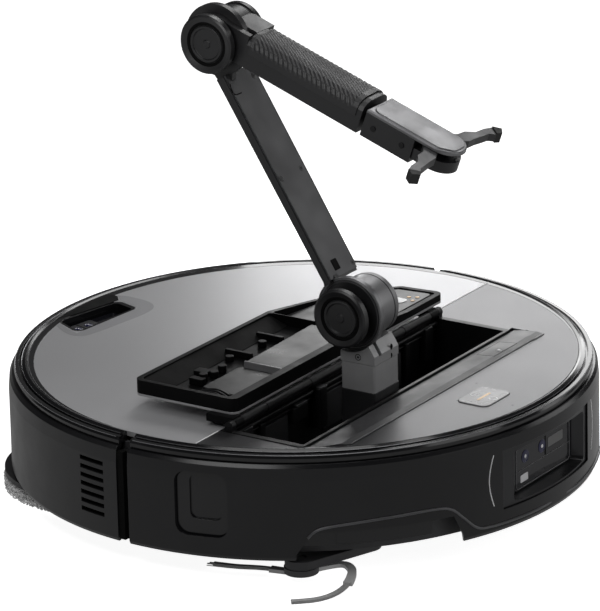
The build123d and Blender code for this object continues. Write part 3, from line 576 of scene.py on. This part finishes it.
def ribbed_cover():
    """The forearm's grip cover: slanting ribs over a rounded top, and a plain collar at its end."""
    long_steps, round_steps = 260, 84
    section = [crown_point(j / round_steps) for j in range(round_steps + 1)]
    smooth = []
    for j in range(round_steps + 1):
        near = section[max(0, j - 4):j + 5]
        smooth.append(sum((n for _, n in near), Vector((0, 0))).normalized())
    bm = bmesh.new()
    outer, inner = [], []
    for i in range(long_steps + 1):
        s = COVER_RUN[0] + (COVER_RUN[1] - COVER_RUN[0]) * i / long_steps
        ends = clamped((s - 25.2) / 0.8) * clamped((97.6 - s) / 0.8)
        row_out, row_in = [], []
        for j, (point, _) in enumerate(section):
            normal = smooth[j]
            flank = clamped((point.y - 8.2) / 1.4)
            wave = 0.5 + 0.5 * math.cos(2 * math.pi * (s + RIB_LEAN * point.x) / RIB_PITCH)
            sink = 0.05 + RIB_DEPTH * ends * flank * (1 - wave ** 1.4)
            face = point - normal * sink
            back = point - normal * COVER_WALL * 0.72
            row_out.append(bm.verts.new(FOREARM @ Vector((s, face.x, face.y))))
            row_in.append(bm.verts.new(FOREARM @ Vector((s, back.x, back.y))))
        outer.append(row_out)
        inner.append(row_in)
    for i in range(long_steps):
        for j in range(round_steps):
            bm.faces.new((outer[i][j], outer[i + 1][j], outer[i + 1][j + 1], outer[i][j + 1]))
            bm.faces.new((inner[i][j], inner[i][j + 1], inner[i + 1][j + 1], inner[i + 1][j]))
        for j in (0, round_steps):
            bm.faces.new((outer[i][j], inner[i][j], inner[i + 1][j], outer[i + 1][j]))
    for i in (0, long_steps):
        for j in range(round_steps):
            bm.faces.new((outer[i][j], outer[i][j + 1], inner[i][j + 1], inner[i][j]))
    cover = finish_piece("ribbed_grip_cover", bm, "grip_ribbed", "forearm", angle=50)
    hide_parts("forearm_grip_cover")


def gripper_details():
    """The gripper's palm pad and its side screws."""
    half_palm = [(109.0, -11.2), (156.0, -11.2), (163.6, -5.5)]
    palm = rounded(half_palm + [(s, -t) for s, t in half_palm[::-1]], 5)
    prisms("gripper_palm_pad", [(palm, (12.3, 13.3))], "palm_grey", "gripper", FOREARM, 0.45)
    for tag, side in SIDES:
        flank = GRIPPER_HALF * side
        heads = []
        for s in (114.0, 134.0):
            heads.append((disc((s, 3.2), 1.7, 20), (flank - 0.35, flank + 0.15)))
            heads.append((disc((s, 3.2), 0.7, 6), (flank - 0.1, flank + 0.3)))
        prisms(f"{tag}_gripper_screws", heads, "bay_black", "gripper", FOREARM @ SIDE_VIEW, 0.08)


def forearm_details():
    """Belly screws and side seams on the forearm."""
    for tag, side in SIDES:
        seam = [(s, FOREARM_HALF * side, 9.2) for s in (26, 60, 100)]
        rods(f"{tag}_forearm_seam", [(seam, 0.28)], "bay_black", "forearm", FOREARM, sides=6)
    heads = [(disc((s, 0.0), 1.8, 20), (-5.0, -4.45)) for s in (34.0, 92.0)]
    prisms("forearm_belly_screws", heads, "steel", "forearm", FOREARM, 0.1)


# ------------ shoulder and elbow
def toothed_ring(name, centre, y, radius, teeth, body):
    """A ring with square teeth round a pivot that runs along Y. y is its (low, high)."""
    outline = []
    for tooth in range(teeth):
        for share, r in ((0.0, radius - 1.1), (0.42, radius - 1.1), (0.5, radius), (0.92, radius)):
            swing = 2 * math.pi * (tooth + share) / teeth
            outline.append((centre.x + r * math.cos(swing), centre.z + r * math.sin(swing)))
    prisms(name, [(outline, y)], "arm_black", body, ROW @ SIDE_VIEW, 0.0)


def pivot_trim():
    """Toothed rings and cap trim at both pivots, with a lighter ring as a painted highlight and a near-black
    groove as painted shade on each cap, and the shoulder's motor trim and painted highlights on its ear.
    """
    toothed_ring("shoulder_gear", SHOULDER, (-56.2, -54.5), 15.6, 40, "turret")
    toothed_ring("elbow_gear", ELBOW, (-56.2, -54.4), 15.6, 40, "forearm")
    for name, centre, body in (("shoulder", SHOULDER, "turret"), ("elbow", ELBOW, "forearm")):
        base = facing((centre.x, low(f"{name}_cap").y, centre.z), (0, -1, 0))
        # Painted highlight: a lighter ring at the cap's outer edge.
        ring = [(15.2, -0.5), (16.0, -0.15), (16.6, -0.3), (16.6, -0.9), (15.2, -0.9)]
        turned(f"{name}_cap_edge_highlight", ring, "arm_grey", body, base, count=72)
        boss = [(0.0, -2.2), (0.0, -1.1), (1.3, -1.1), (1.6, -1.5), (1.6, -2.2)]
        turned(f"{name}_cap_boss", boss, "arm_grey", body, base, count=24)
        # Painted shade: a near-black groove ring inside the cap.
        groove = [(11.4, -1.35), (11.9, -1.08), (13.3, -1.08), (13.8, -1.35), (13.8, -1.8), (11.4, -1.8)]
        turned(f"{name}_cap_groove_shade", groove, "gap_black", body, base, count=72)
    drum_y = high("shoulder_motor").y
    end = facing((SHOULDER.x, drum_y, SHOULDER.z), (0, 1, 0))
    plate = [(0.0, -0.6), (0.0, 0.25), (11.5, 0.25), (12.0, -0.1), (12.0, -0.6)]
    turned("shoulder_motor_plate", plate, "arm_grey", "turret", end, count=64)
    seam = facing((SHOULDER.x, drum_y - 5.2, SHOULDER.z), (0, 1, 0))
    band = [(17.7, -0.5), (17.95, -0.4), (17.95, 0.4), (17.7, 0.5)]
    turned("shoulder_motor_band", band, "arm_black", "turret", seam, count=96)
    # Painted highlights: a lighter rim and two lighter lines on the ear's edge.
    shine = [(21.2, -4.1), (21.65, -3.8), (21.65, -0.4), (21.2, -0.1), (20.6, 0.15), (20.0, -0.1),
             (20.0, -4.1)]
    ear = facing((SHOULDER.x, -50.2, SHOULDER.z), (0, -1, 0))
    turned("shoulder_ear_rim_highlight", shine, "palm_grey", "upper_arm", ear, count=96)
    line = [(21.2, 0.1), (21.6, 0.45), (21.95, 0.1), (21.6, -0.2)]
    turned("shoulder_ear_highlight_line", line, "button_gloss", "upper_arm", ear, count=120)
    inner = [(18.6, -0.3), (18.9, 0.55), (19.5, 0.55), (19.8, -0.3)]
    turned("shoulder_ear_inner_highlight", inner, "arm_grey", "upper_arm", ear, count=120)


# ------------ upper link
LINK_START, LINK_STOP = 20.4, 154.2
FRONT_START, FRONT_STOP = -1.2, 3.0
LINK_SCREWS = ((87.4, 11.2), (25.5, 13.5), (147.5, 11.6))
LINK_BOSS = (87.4, -9.6)


def link_front(s):
    """How far the link's front face lies behind the line between its pivots."""
    return FRONT_START + (FRONT_STOP - FRONT_START) * (s - LINK_START) / (LINK_STOP - LINK_START)


def link_details():
    """Clip groove and cable window in near-black as painted shade, and screws and edge lines on the link's
    front cover.
    """
    slope = math.atan2(FRONT_STOP - FRONT_START, LINK_STOP - LINK_START)
    run = LINK_RUN.normalized()
    turn = math.atan2(run.z, run.x) + slope
    face = axes(SHOULDER, (math.cos(turn), 0, math.sin(turn)))
    rise = link_front(LINK_START) - LINK_START * math.tan(slope)
    skin = rise * math.cos(slope)
    outward = (skin - 0.12, skin + 0.3)
    # Painted shade: the clip groove is a near-black rod.
    clip = [(148.6, -11.8), (146.0, -12.9), (143.2, -12.9), (141.6, -11.2), (141.4, -6.0)]
    groove = smooth_line([(s, t, skin + 0.1) for s, t in clip], 6)
    rods("link_clip_groove", [(groove, 0.42)], "gap_black", "upper_arm", face, sides=6)
    heads = [(disc(place, 1.9, 24), outward) for place in LINK_SCREWS]
    prisms("link_screws", heads, "arm_black", "upper_arm", face, 0.15)
    sockets = [(disc(place, 0.9, 6), (skin - 0.25, skin + 0.05)) for place in LINK_SCREWS]
    prisms("link_screw_sockets", sockets, "bay_black", "upper_arm", face, 0.0)
    # Painted shade: the cable window is a near-black patch.
    prisms("link_window", [(rect((25.6, 32.4), (-5.0, 0.8), 0.6), (skin - 0.2, skin + 0.35))],
           "gap_black", "upper_arm", face, 0.1)
    prisms("link_boss", [(disc(LINK_BOSS, 1.5, 20), outward)], "arm_black", "upper_arm", face, 0.2)
    hook = [(ring_outline(LINK_BOSS, (1.9, 2.4), 150, 160), outward)]
    prisms("link_boss_ring", hook, "bay_black", "upper_arm", face, 0.0)
    for t, tag in ((-13.1, "near"), (15.3, "far")):
        line = [(s, t, skin + 0.02) for s in (24, 60, 110, 152)]
        rods(f"link_{tag}_edge", [(line, 0.22)], "arm_black", "upper_arm", face, sides=6)


# ------------ column
def column_details():
    """The dark boot and the small marks on the column."""
    base_low, base_high = low("column_base"), high("column_base")
    pad = 0.35
    outer = rect((base_low.x - pad, base_high.x + pad), (base_low.y - pad, base_high.y + pad), 1.8)
    prisms("column_boot", [(outer, (base_low.z + 0.4, 83.0))], "arm_black", "chassis", bevel=0.3)
    front = facing((base_high.x, ARM_Y, 0), (1, 0, 0))
    for z, size, tag in ((106.2, 1.9, "upper"), (101.0, 1.5, "lower")):
        half = arc_points((4.8, z), size, -90, 180, 15)
        prisms(f"column_{tag}_mark", [(half, (-0.2, 0.12))], "gap_black", "turret", front, 0.0)
    side = facing((0, base_low.y, 0), (0, -1, 0))
    prisms("column_side_mark", [(ring_outline((73.4, 103.4), (1.5, 2.0), 350, 0, 24), (-0.2, 0.1))],
           "arm_black", "turret", side, 0.0)
    prisms("column_side_dot", [(disc((73.4, 103.4), 0.7, 16), (-0.2, 0.1))], "bay_black", "turret", side, 0.0)


# ------------ lid
LID_FLOOR = 87.7
LID_SHELF = 89.7


def lid_details():
    """Plates, bosses, fins, lamp and contacts inside the lid, a lighter strip as a painted highlight on a
    plate's edge, a near-black inner slope as painted shade, and bands on its hinge tube.
    """
    rim = high("lid_tray").z
    near = rounded([(3.0, -111.5), (28.0, -114.0), (29.6, -72.0), (3.5, -72.0)], 2.5)
    prisms("lid_near_plate", [(near, (LID_FLOOR, 91.0))], "lid_plate", "lid", bevel=0.6)
    far = rounded([(4.5, -67.5), (30.2, -67.5), (30.4, 5.5), (2.4, 5.5)], 2.0)
    prisms("lid_far_plate", [(far, (LID_FLOOR, rim - 1.1))], "lid_plate", "lid", bevel=0.7)
    # Painted highlight: a lighter strip along the far plate's near edge.
    step = rect((4.2, 30.4), (-69.0, -67.7))
    prisms("lid_plate_edge_highlight", [(step, (LID_FLOOR, rim - 0.6))], "button_gloss", "lid", bevel=0.3)
    shelf = rounded([(31.5, 10.5), (-25.5, 10.5), (-15.5, 67.8), (9.6, 92.0), (31.5, 94.2)], 3.0)
    prisms("lid_shelf_plate", [(shelf, (88.85, 89.75))], "lid_plate", "lid", bevel=0.3)
    bosses = [(disc((x, y), 2.6, 20), (LID_FLOOR, top)) for x, y, top in (
        (-5, -78, 92.2), (-6, -96, 92.6), (-4.5, -87, 91.4), (-12, -60, 91.0), (-9, -30, 91.4))]
    bosses += [(rect((-10.5, -1.5), (-104.5, -99.5), 0.8), (LID_FLOOR, 91.8)),
               (rect((-17.0, -8.0), (-90.5, -83.5), 0.8), (LID_FLOOR, 90.6)),
               (rect((-20.0, -1.5), (-53.0, -50.5)), (LID_FLOOR, 91.6)),
               (rect((-20.0, -1.5), (-20.0, -17.5)), (LID_FLOOR, 91.6))]
    prisms("lid_bosses", bosses, "lid_black", "lid", bevel=0.35)
    # Painted shade: a near-black slope along the lid's inner wall.
    slope = [(-30.0, 93.4), (-30.0, LID_FLOOR), (-15.0, LID_FLOOR), (-17.5, 88.6)]
    prisms("lid_inner_slope_shade", [(slope, (-123.6, 7.6))], "gap_black", "lid", ROW @ SIDE_VIEW, 0.5)
    fins = []
    for index in range(4):
        shift = index * 2.9
        arc = [(4.0, -122.6 + shift, 89.4), (10.0, -120.8 + shift, 90.9), (17.0, -121.0 + shift, 91.4),
               (24.5, -122.8 + shift, 90.2)]
        fins.append((smooth_line(arc, 6), 0.75))
    rods("lid_near_fins", fins, "lid_plate", "lid", sides=8)
    contacts = ((22.5, 82.5), (27.2, 84.5), (27.8, 78.0))
    dots = [(disc(place, 1.25, 20), (LID_SHELF, 90.02)) for place in contacts]
    prisms("lid_contacts", dots, "amber", "lid", bevel=0.1)
    lens = rounded([(15.5, 72.0), (24.0, 69.0), (25.5, 78.0), (15.8, 78.5)], 2.8)
    prisms("lid_lamp", [(lens, (LID_SHELF, 90.1))], "white_mark", "lid", bevel=0.15)
    tube = joint_at("lid_hinge")
    for index, y in enumerate((-96.0, -50.0, 8.0, 52.0)):
        ring = facing((tube.x, y, tube.z), (0, 1, 0))
        band = [(2.72, -3.2), (3.0, -3.0), (3.0, 3.0), (2.72, 3.2)]
        turned(f"hinge_tube_band_{index}", band, "bay_black", "chassis", ring, count=32)


# ------------ bay
BAY_WALL = 37.0
BAY_FAR = 85.9
BAY_FLOOR = 42.05


def bay_details():
    """Tubes, brackets, panels, ledges and pads that line the arm's bay."""
    end_low, end_high = -132.0, 87.0
    bar = [([(BAY_WALL + 2.2, y, 75.2) for y in (end_low + 1, -40, 40, end_high - 1)], 1.3),
           ([(BAY_WALL + 1.4, y, 71.2) for y in (end_low + 1, -40, 40, end_high - 1)], 0.7)]
    rods("bay_wall_tubes", bar, "bay_black", "chassis", sides=10)
    boxes = []
    for y, width, out, z0, z1 in ((-121, 9, 5.0, 58, 76), (-104, 5, 3.6, 50, 73), (-66, 15, 4.4, 63, 72),
                                  (-45, 8, 6.5, 52, 76.5), (-12, 6, 3.6, 50, 73), (22, 9, 5.0, 56, 76),
                                  (52, 5, 3.6, 50, 73), (74, 8, 5.2, 56, 76)):
        boxes.append((rect((BAY_WALL + 0.05, BAY_WALL + out), (y - width / 2, y + width / 2), 0.8), (z0, z1)))
    prisms("bay_wall_brackets", boxes, "bay_black", "chassis", bevel=0.4)
    tabs = [(rect((BAY_WALL + 0.05, BAY_WALL + out), along, 0.8), span) for out, along, span in (
        (5.0, (-71.0, -59.5), (72.2, 73.4)), (7.0, (-48.6, -41.4), (76.6, 77.4)),
        (5.6, (18.0, 26.0), (76.2, 77.2)))]
    prisms("bay_wall_tabs", tabs, "arm_grey", "chassis", bevel=0.2)
    panels = [(rect((BAY_WALL + 0.05, BAY_WALL + 1.0), along), (47.0, 68.5))
              for along in ((-38.0, -16.0), (-98.0, -75.0), (28.0, 48.0))]
    prisms("bay_wall_panels", panels, "inner_plastic", "chassis", bevel=0.25)
    ledges = [(rect((near, BAY_FAR), along, 1.0), span) for near, along, span in (
        (77.0, (-118.0, -96.0), (63.0, 65.0)), (75.0, (-91.0, -62.0), (61.0, 63.2)),
        (79.0, (-20.0, 6.0), (62.0, 64.0)), (79.0, (40.0, 66.0), (62.0, 64.0)))]
    prisms("bay_ledges", ledges, "arm_grey", "chassis", bevel=0.3)
    pads = [(rect((45.0, 56.0), (y, y + 14.0), 1.5), (BAY_FLOOR, 44.0)) for y in (-124, -100, -4, 22, 48)]
    prisms("bay_floor_pads", pads, "inner_plastic", "chassis", bevel=0.4)
    track = [(rect((x, x + 1.2), (-26.0, 84.0)), (BAY_FLOOR, 46.0)) for x in (60.2, 84.6)]
    prisms("bay_tracks", track, "arm_grey", "chassis", bevel=0.2)


# ------------ deck and rail
def deck_details():
    """Button icons and light bar, microphone holes, the rail's arrow, and painted highlights along the rail's
    edge and the deck cover's seam.
    """
    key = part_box("home_button")
    key_top = key[1].z / MM
    centre = (key[0] + key[1]) / 2 / MM
    mark = (key_top - 0.3, key_top + 0.06)
    bar = rect((centre.x - 0.9, centre.x + 0.9), (centre.y - 7.0, centre.y + 7.0), 0.85)
    prisms("button_light_bar", [(bar, (key_top - 0.3, key_top + 0.07))], "amber", "home_key", bevel=0.0)
    rings = [ring_outline((centre.x - 6.2, centre.y), (2.0, 2.8), 290, 35, 24),
             rect((centre.x - 6.5, centre.x - 5.9), (centre.y - 0.3, centre.y + 2.8)),
             ring_outline((centre.x + 6.2, centre.y), (2.0, 2.8), 355, 0, 24)]
    prisms("button_icons", [(ring, mark) for ring in rings], "white_mark", "home_key", bevel=0.0)
    holes = [disc(place, 0.75, 16) for place in ((118.3, 3.0), (155.0, -18.0))]
    prisms("microphone_holes", [(hole, (DECK_TOP - 0.3, DECK_TOP + 0.02)) for hole in holes],
           "bay_black", "chassis", bevel=0.0)
    rail_top = high("bay_rail").z
    arrow = [(100.6, 54.6), (103.6, 55.9), (100.6, 57.2)]
    prisms("rail_arrow", [(arrow, (rail_top - 0.6, rail_top + 0.04))], "white_mark", "rail_key", bevel=0.0)
    # Painted highlight: a light line along the rail's outer edge.
    seam = [(high("bay_rail").x + 0.05, y, rail_top + 0.06) for y in (-118, -40, 40, 94)]
    rods("rail_edge_highlight", [(seam, 0.16)], "button_gloss", "chassis", sides=6)
    far = high("bay_rail")
    turn = 13.0
    tip = (far.x + 0.3, far.y + 0.3)
    corner = [tip] + arc_points((tip[0] - turn, tip[1] - turn), turn, 90, -90, 12)
    fillet = (corner, (rail_top - 0.5, DECK_TOP + 0.02))
    prisms("rail_end_fillet", [fillet], "deck_grey", "chassis", bevel=0.0)
    # Painted highlight: white lines along the deck cover's seam.
    seam_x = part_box("rear_deck_cover")[1].x / MM - 0.25
    chords = [([(seam_x, y0, DECK_TOP + 0.02), (seam_x, y1, DECK_TOP + 0.05)], 0.35)
              for y0, y1 in ((-159.4, -137.0), (92.0, 159.4))]
    rods("deck_seam_highlight", chords, "white_mark", "chassis", sides=6)


def rim_details():
    """Painted highlights as light lines along the rim's edges, and painted shade as a dark band inside it at
    the rear, standing for the shade of the deck's slope.
    """
    # Painted highlights: light grey lines on the rim's edges, front and rear.
    for tag, start, arc in (("front", -91.5, 183.0), ("rear", 95.5, 169.0)):
        for index, (radius, z) in enumerate(((170.75, 76.25), (166.75, 76.95))):
            band = [(radius - 0.16, z - 0.2), (radius + 0.16, z - 0.2), (radius + 0.16, z + 0.1),
                    (radius, z + 0.22), (radius - 0.16, z + 0.1)]
            name = f"rim_{tag}_line_{index}"
            turned(name, band, "rim_line", "chassis", ROW, count=360, arc=arc, start=start)
    # Painted shade: a dark band on the deck inside the rim at the rear, widest at its middle.
    outer = arc_points((0, 0), DECK_EDGE - 0.2, 30, 231, 77)
    inner = []
    for index, (x, y) in enumerate(outer):
        inset = 5.5 * math.sin(math.pi * 3 * index / 232)
        share = 1 - inset / (DECK_EDGE - 0.2)
        inner.append((x * share, y * share))
    # The edge runs straight past the cover's seam.
    past_seam = slice(21, 23)
    del outer[past_seam], inner[past_seam]
    slope = (outer + inner[::-1], (DECK_TOP - 0.4, DECK_TOP + 0.06))
    prisms("rim_slope_shade", [slope], "rim_gloss", "chassis", bevel=0.0)


# ------------ front window
GLASS_X = 164.3


def window_details():
    """Dividers, lenses with painted glints, lamp and flash panels of the front sensor window, and white lines
    beside it as painted highlights on its edges.
    """
    face = facing((GLASS_X, 0, 0), (1, 0, 0))
    y0, y1, z0, z1 = -30.6, 29.6, 30.8, 55.6
    frame_line = [(a, b, 0.1) for a, b in rounded([(y0, z0), (y1, z0), (y1, z1), (y0, z1)], 2.4, 4)]
    lines = [(frame_line + [frame_line[0]], 0.32), ([(y0, 41.4, 0.1), (y1, 41.4, 0.1)], 0.22)]
    rods("window_divider", lines, "palm_grey", "bumper", face, sides=6)
    split = [(2.8, 42.0, 0.1), (2.8, z1 - 0.5, 0.1)]
    rods("window_split", [(split, 0.4)], "bay_black", "bumper", face, sides=6)
    for tag, y in (("left", -20.0), ("right", -1.2)):
        eye = facing((GLASS_X, y, 48.6), (1, 0, 0))
        shell = [(0, -0.2), (0, 0.25), (2.4, 0.25), (3.0, 0.12), (3.4, 0.3), (3.9, 0.2), (3.9, -0.2)]
        turned(f"window_{tag}_lens", shell, "lens_blue", "bumper", eye, count=40)
        glint = [(0, 0.2), (0, 0.55), (0.7, 0.5), (1.15, 0.2)]
        turned(f"window_{tag}_glint", glint, "white_mark", "bumper", eye, count=24)
    for name, panel, finish in (("lamp", rect((5.6, 22.4), (45.6, 51.4), 0.8), "lamp_panel"),
                                ("flash", rect((-25.5, -17.0), (33.6, 38.2), 0.8), "white_mark")):
        prisms(f"window_{name}", [(panel, (-0.1, 0.16))], finish, "bumper", face, 0.1)
    # Painted highlights: white lines up the bumper on both sides of the window.
    for tag, turn in (("near", -18.9), ("far", 16.3)):
        points = []
        for step in range(13):
            share = step / 12
            z = 30.5 + 31.0 * share
            bow = 1.1 * math.sin(math.pi * share) * (-1 if tag == "near" else 1)
            points.append(on_wall(turn + bow, 174.7, z))
        rods(f"window_{tag}_edge_highlight", [(points, 0.42)], "white_mark", "bumper", sides=6)


# ------------ side walls
def side_details():
    """Vent backing, the moulded line over the side-brush arch in a lighter grey as a painted highlight, and
    the arch panel.
    """
    profile = [(168.6, 24.5), (170.9, 24.5), (170.9, 62.5), (168.6, 62.5)]
    for tag, start in (("right", -104.5), ("left", 97.8)):
        turned(f"{tag}_vent_mesh", profile, "bay_black", "chassis", ROW, count=720, arc=6.7, start=start)
    # The moulded line is a raised bead in a lighter grey, a painted highlight along it.
    path = [(-56.5, 28.0), (-54.0, 33.4), (-47.0, 36.0), (-39.0, 37.3), (-32.0, 37.6), (-28.6, 35.4),
            (-25.8, 28.0), (-23.0, 20.6), (-19.5, 18.8), (-12.0, 18.4), (0.0, 18.2), (14.0, 18.2),
            (28.0, 18.4)]
    line = [on_wall(p.x, 175.2 - 1.3 * math.exp(-(p.x / 5) ** 2), p.y)
            for p in smooth_line([(a, z, 0) for a, z in path], 8)]
    rods("bumper_moulded_line_highlight", [(line, 0.8)], "frame_satin", "bumper", sides=10)
    panel = [(168.7, 21.4), (169.2, 21.8), (169.2, 31.0), (168.7, 31.4), (167.9, 31.4), (167.9, 21.4)]
    turned("arch_gloss_panel", panel, "sensor_black", "chassis", ROW, count=720, arc=16.0, start=-51.0)


def gap_shade_strips():
    """Near-black strips in the gaps between the rear shell and the bumper, painted shade that narrows the
    gaps.
    """
    # Painted shade: near-black strips in the gaps.
    for tag, start in (("right", -94.45), ("left", 93.05)):
        section = [(170.5, 15.6), (174.3, 15.6), (174.3, 69.0), (170.5, 69.0)]
        turned(f"{tag}_gap_strip", section, "gap_black", "chassis", ROW, count=1440, arc=1.4, start=start)


def rear_sensor_details():
    """Face plate and lenses with painted glints of the rear range sensor, its mouth to the rim in near-black
    as painted shade, and its dished surround.
    """
    top = high("rear_sensor_glass").z
    face = rounded([(-152.4, -24.4), (-139.6, -30.4), (-137.2, -11.0), (-149.4, -8.0)], 1.5)
    prisms("rear_sensor_face", [(face, (top - 0.2, top + 0.25))], "sensor_face", "chassis", bevel=0.15)
    split = [(-151.0, -20.3), (-138.4, -23.4), (-138.3, -22.6), (-150.9, -19.5)]
    prisms("rear_sensor_split", [(split, (top, top + 0.3))], "gap_black", "chassis", bevel=0.0)
    for index, (x, y) in enumerate(((-145.4, -25.4), (-144.4, -16.6))):
        eye = facing((x, y, top + 0.2), (0, 0, 1), (0, 1, 0))
        shell = [(0, -0.4), (0, 0.6), (1.0, 0.5), (1.5, 0.2), (2.1, 0.45), (2.5, 0.2), (2.5, -0.4)]
        turned(f"rear_sensor_lens_{index}", shell, "lens_blue", "chassis", eye, count=40)
        glint = [(0, 0.3), (0, 0.8), (0.45, 0.7), (0.7, 0.3)]
        turned(f"rear_sensor_glint_{index}", glint, "white_mark", "chassis", eye, count=20)
    # Painted shade: the opening to the rim is a near-black plate.
    mouth = [(-159.6, -29.2)] + arc_points((0, 0), DECK_EDGE - 0.3, 189, -16, 8)
    mouth += [(-158.0, 27.0), (-152.5, 26.0), (-147.6, 20.2)]
    sweep = [(-159.0, -31.0), (-151.0, -38.5), (-138.0, -45.5), (-129.5, -44.0), (-126.0, -36.0),
             (-122.5, -15.0), (-119.5, 8.0), (-121.5, 20.0), (-130.0, 27.0), (-146.0, 29.0), (-153.0, 27.0)]
    dish = [tuple(p)[:2] for p in smooth_line([(x, y, 0) for x, y in sweep])]
    dish += [(-146.8, 20.6), (-129.2, 14.6), (-134.9, -41.6), (-159.4, -29.8)]
    for name, outline, finish, rise in (("mouth", mouth, "gap_black", 0.08),
                                        ("dish", dish, "dish_silver", 0.04)):
        plate = (outline, (DECK_TOP - 0.4, DECK_TOP + rise))
        prisms(f"rear_sensor_{name}", [plate], finish, "chassis", bevel=0.0)


# ------------ underside and soft goods
LOOPS = 130


def mop_pile(side, tag):
    """A round mop pad: a felt body covered at its edge and underneath with looped pile."""
    joint = joint_at(f"{tag}_mop_spin")
    radius = (high(f"{tag}_mop_pad").x - low(f"{tag}_mop_pad").x) / 2
    thick = high(f"{tag}_mop_pad").z
    draw = random.Random(11 + side)
    place = ROW @ Matrix.Translation((joint.x, joint.y, 0))
    bm = bmesh.new()
    body = [(0.0, 1.5), (radius - 4.0, 1.5), (radius - 2.8, 2.6), (radius - 2.4, 5.0),
            (radius - 2.8, thick - 1.2), (radius - 3.4, thick - 0.2), (0.0, thick - 0.2)]
    add_turned(bm, body, place, count=160)
    rows = [(radius - 2.3, z) for z in (1.9, 3.2, 4.5, 5.8, 7.1)] + [(radius - 4.2, 1.7), (radius - 7.0, 1.7)]
    for row, (reach, z) in enumerate(rows):
        for k in range(LOOPS):
            swing = 2 * math.pi * (k + 0.5 * (row % 2) + draw.uniform(-0.3, 0.3)) / LOOPS
            out = Vector((math.cos(swing), math.sin(swing), 0))
            if row >= 5:
                out = Vector((0, 0, -1))
            root = Vector((reach * math.cos(swing), reach * math.sin(swing), z + draw.uniform(-0.3, 0.3)))
            lean = draw.uniform(0, math.pi)
            round_way = Vector((-math.sin(swing), math.cos(swing), 0))
            other = out.cross(round_way)
            wide = round_way * math.cos(lean) + other * math.sin(lean)
            size = draw.uniform(0.95, 1.35)
            loop = [root + wide * size * math.cos(t) * 0.8 + out * size * (0.15 + math.sin(t) * 1.3)
                    for t in (0.0, 0.75, 1.57, 2.39, 3.14)]
            for point in loop:
                point.z = max(0.52, min(thick - 0.52, point.z))
            add_rod(bm, loop, 0.5, place, sides=5)
    bmesh.ops.remove_doubles(bm, verts=bm.verts, dist=1e-8)
    pad = finish_piece(f"{tag}_mop_pile", bm, "mop_fabric", f"{tag}_mop", angle=70)
    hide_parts(f"{tag}_mop_pad")


SIDE_HUB = joint_at("side_brush_spin")
SIDE_ARMS = (
    [(88, -140), (66, -144), (50, -150), (33.2, -154.0)],
    [(88, -140), (93, -127), (101, -117), (109.5, -121), (116, -132), (120, -144), (120.5, -158),
     (116, -169), (106, -178.4)],
)
HOLDER_SHARES = (0.30, 0.60)


def sideways(points, index):
    """The level direction square to a line of points at one of them."""
    ahead = points[min(index + 1, len(points) - 1)] - points[max(index - 1, 0)]
    return Vector((-ahead.y, ahead.x, 0)).normalized()


def side_brush():
    """Two bent bundles of bristles, each bristle its own thin rod, in flat holders on a hub."""
    bm = bmesh.new()
    draw = random.Random(5)
    middles = [smooth_line([(x, y, 3.0) for x, y in arm], 7) for arm in SIDE_ARMS]
    for middle in middles:
        for bristle in range(15):
            share = (bristle % 5 - 2) / 2
            layer = (bristle // 5 - 1) * 0.75
            path = []
            for index, point in enumerate(middle):
                grow = index / (len(middle) - 1)
                spread = share * (0.9 + 0.6 * grow) + draw.uniform(-0.06, 0.06)
                path.append(point + sideways(middle, index) * spread + Vector((0, 0, layer)))
            end = len(path) - draw.randint(0, 2)
            add_rod(bm, path[:end], 0.27, ROW, sides=5)
    bundles = finish_piece("side_brush_bristle_bundles", bm, "bristle", "side_brush", angle=60)
    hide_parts("side_brush_bristles")
    span = (low("side_brush_bristles").z + 0.05, high("side_brush_bristles").z - 0.05)
    for arm, (middle, share) in enumerate(zip(middles, HOLDER_SHARES)):
        held = middle[:round(len(middle) * share)]
        left, right = [], []
        for index, point in enumerate(held):
            half_width = sideways(held, index) * (1.9 + 0.9 * index / len(held))
            left.append(tuple(point + half_width)[:2])
            right.append(tuple(point - half_width)[:2])
        prisms(f"side_brush_holder_{arm}", [(left + right[::-1], span)], "bristle", "side_brush", bevel=0.2)
    hub = facing((SIDE_HUB.x, SIDE_HUB.y, 1.7), (0, 0, -1), (0, 1, 0))
    screw = [(0, -2.4), (0, -0.2), (2.4, -0.2), (3.0, -0.6), (6.0, -0.9), (6.0, -2.4)]
    turned("side_brush_screw", screw, "brush_rubber", "side_brush", hub, count=32)


CLIFF_SPOTS = tuple((x, y * side) for x, y in ((146, 30), (24, 146), (-60, 148)) for side in (1, -1))
UNDERSIDE_SCREWS = tuple((x, y * side) for x, y in ((100, 60), (10, 70), (-30, 60), (-152, 30))
                         for side in (1, -1))


def seen_from_below(level):
    """The frame of a face that points down: x is +Y, y is +X and z points down."""
    turn = Matrix(((0, 1, 0, 0), (1, 0, 0, 0), (0, 0, -1, 0), (0, 0, 0, 1)))
    return Matrix.Translation((0, 0, level * MM)) @ Matrix.Scale(MM, 4) @ turn


def underside_details():
    """Cliff sensor windows and screws under the body."""
    down = seen_from_below(low("chassis_tray").z)
    windows = [(rect((y - 7, y + 7), (x - 3, x + 3), 2.4), (-0.2, 0.35)) for x, y in CLIFF_SPOTS]
    prisms("cliff_windows", windows, "sensor_glass", "chassis", down, 0.2)
    screws = [(disc((y, x), 2.6, 20), (-0.2, 0.5)) for x, y in UNDERSIDE_SCREWS]
    prisms("underside_screws", screws, "steel", "chassis", down, 0.25)


ribbed_cover()
gripper_details()
forearm_details()
pivot_trim()
link_details()
column_details()
lid_details()
bay_details()
deck_details()
rim_details()
window_details()
side_details()
rear_sensor_details()
gap_shade_strips()
mop_pile(-1, "right")
mop_pile(1, "left")
side_brush()
underside_details()
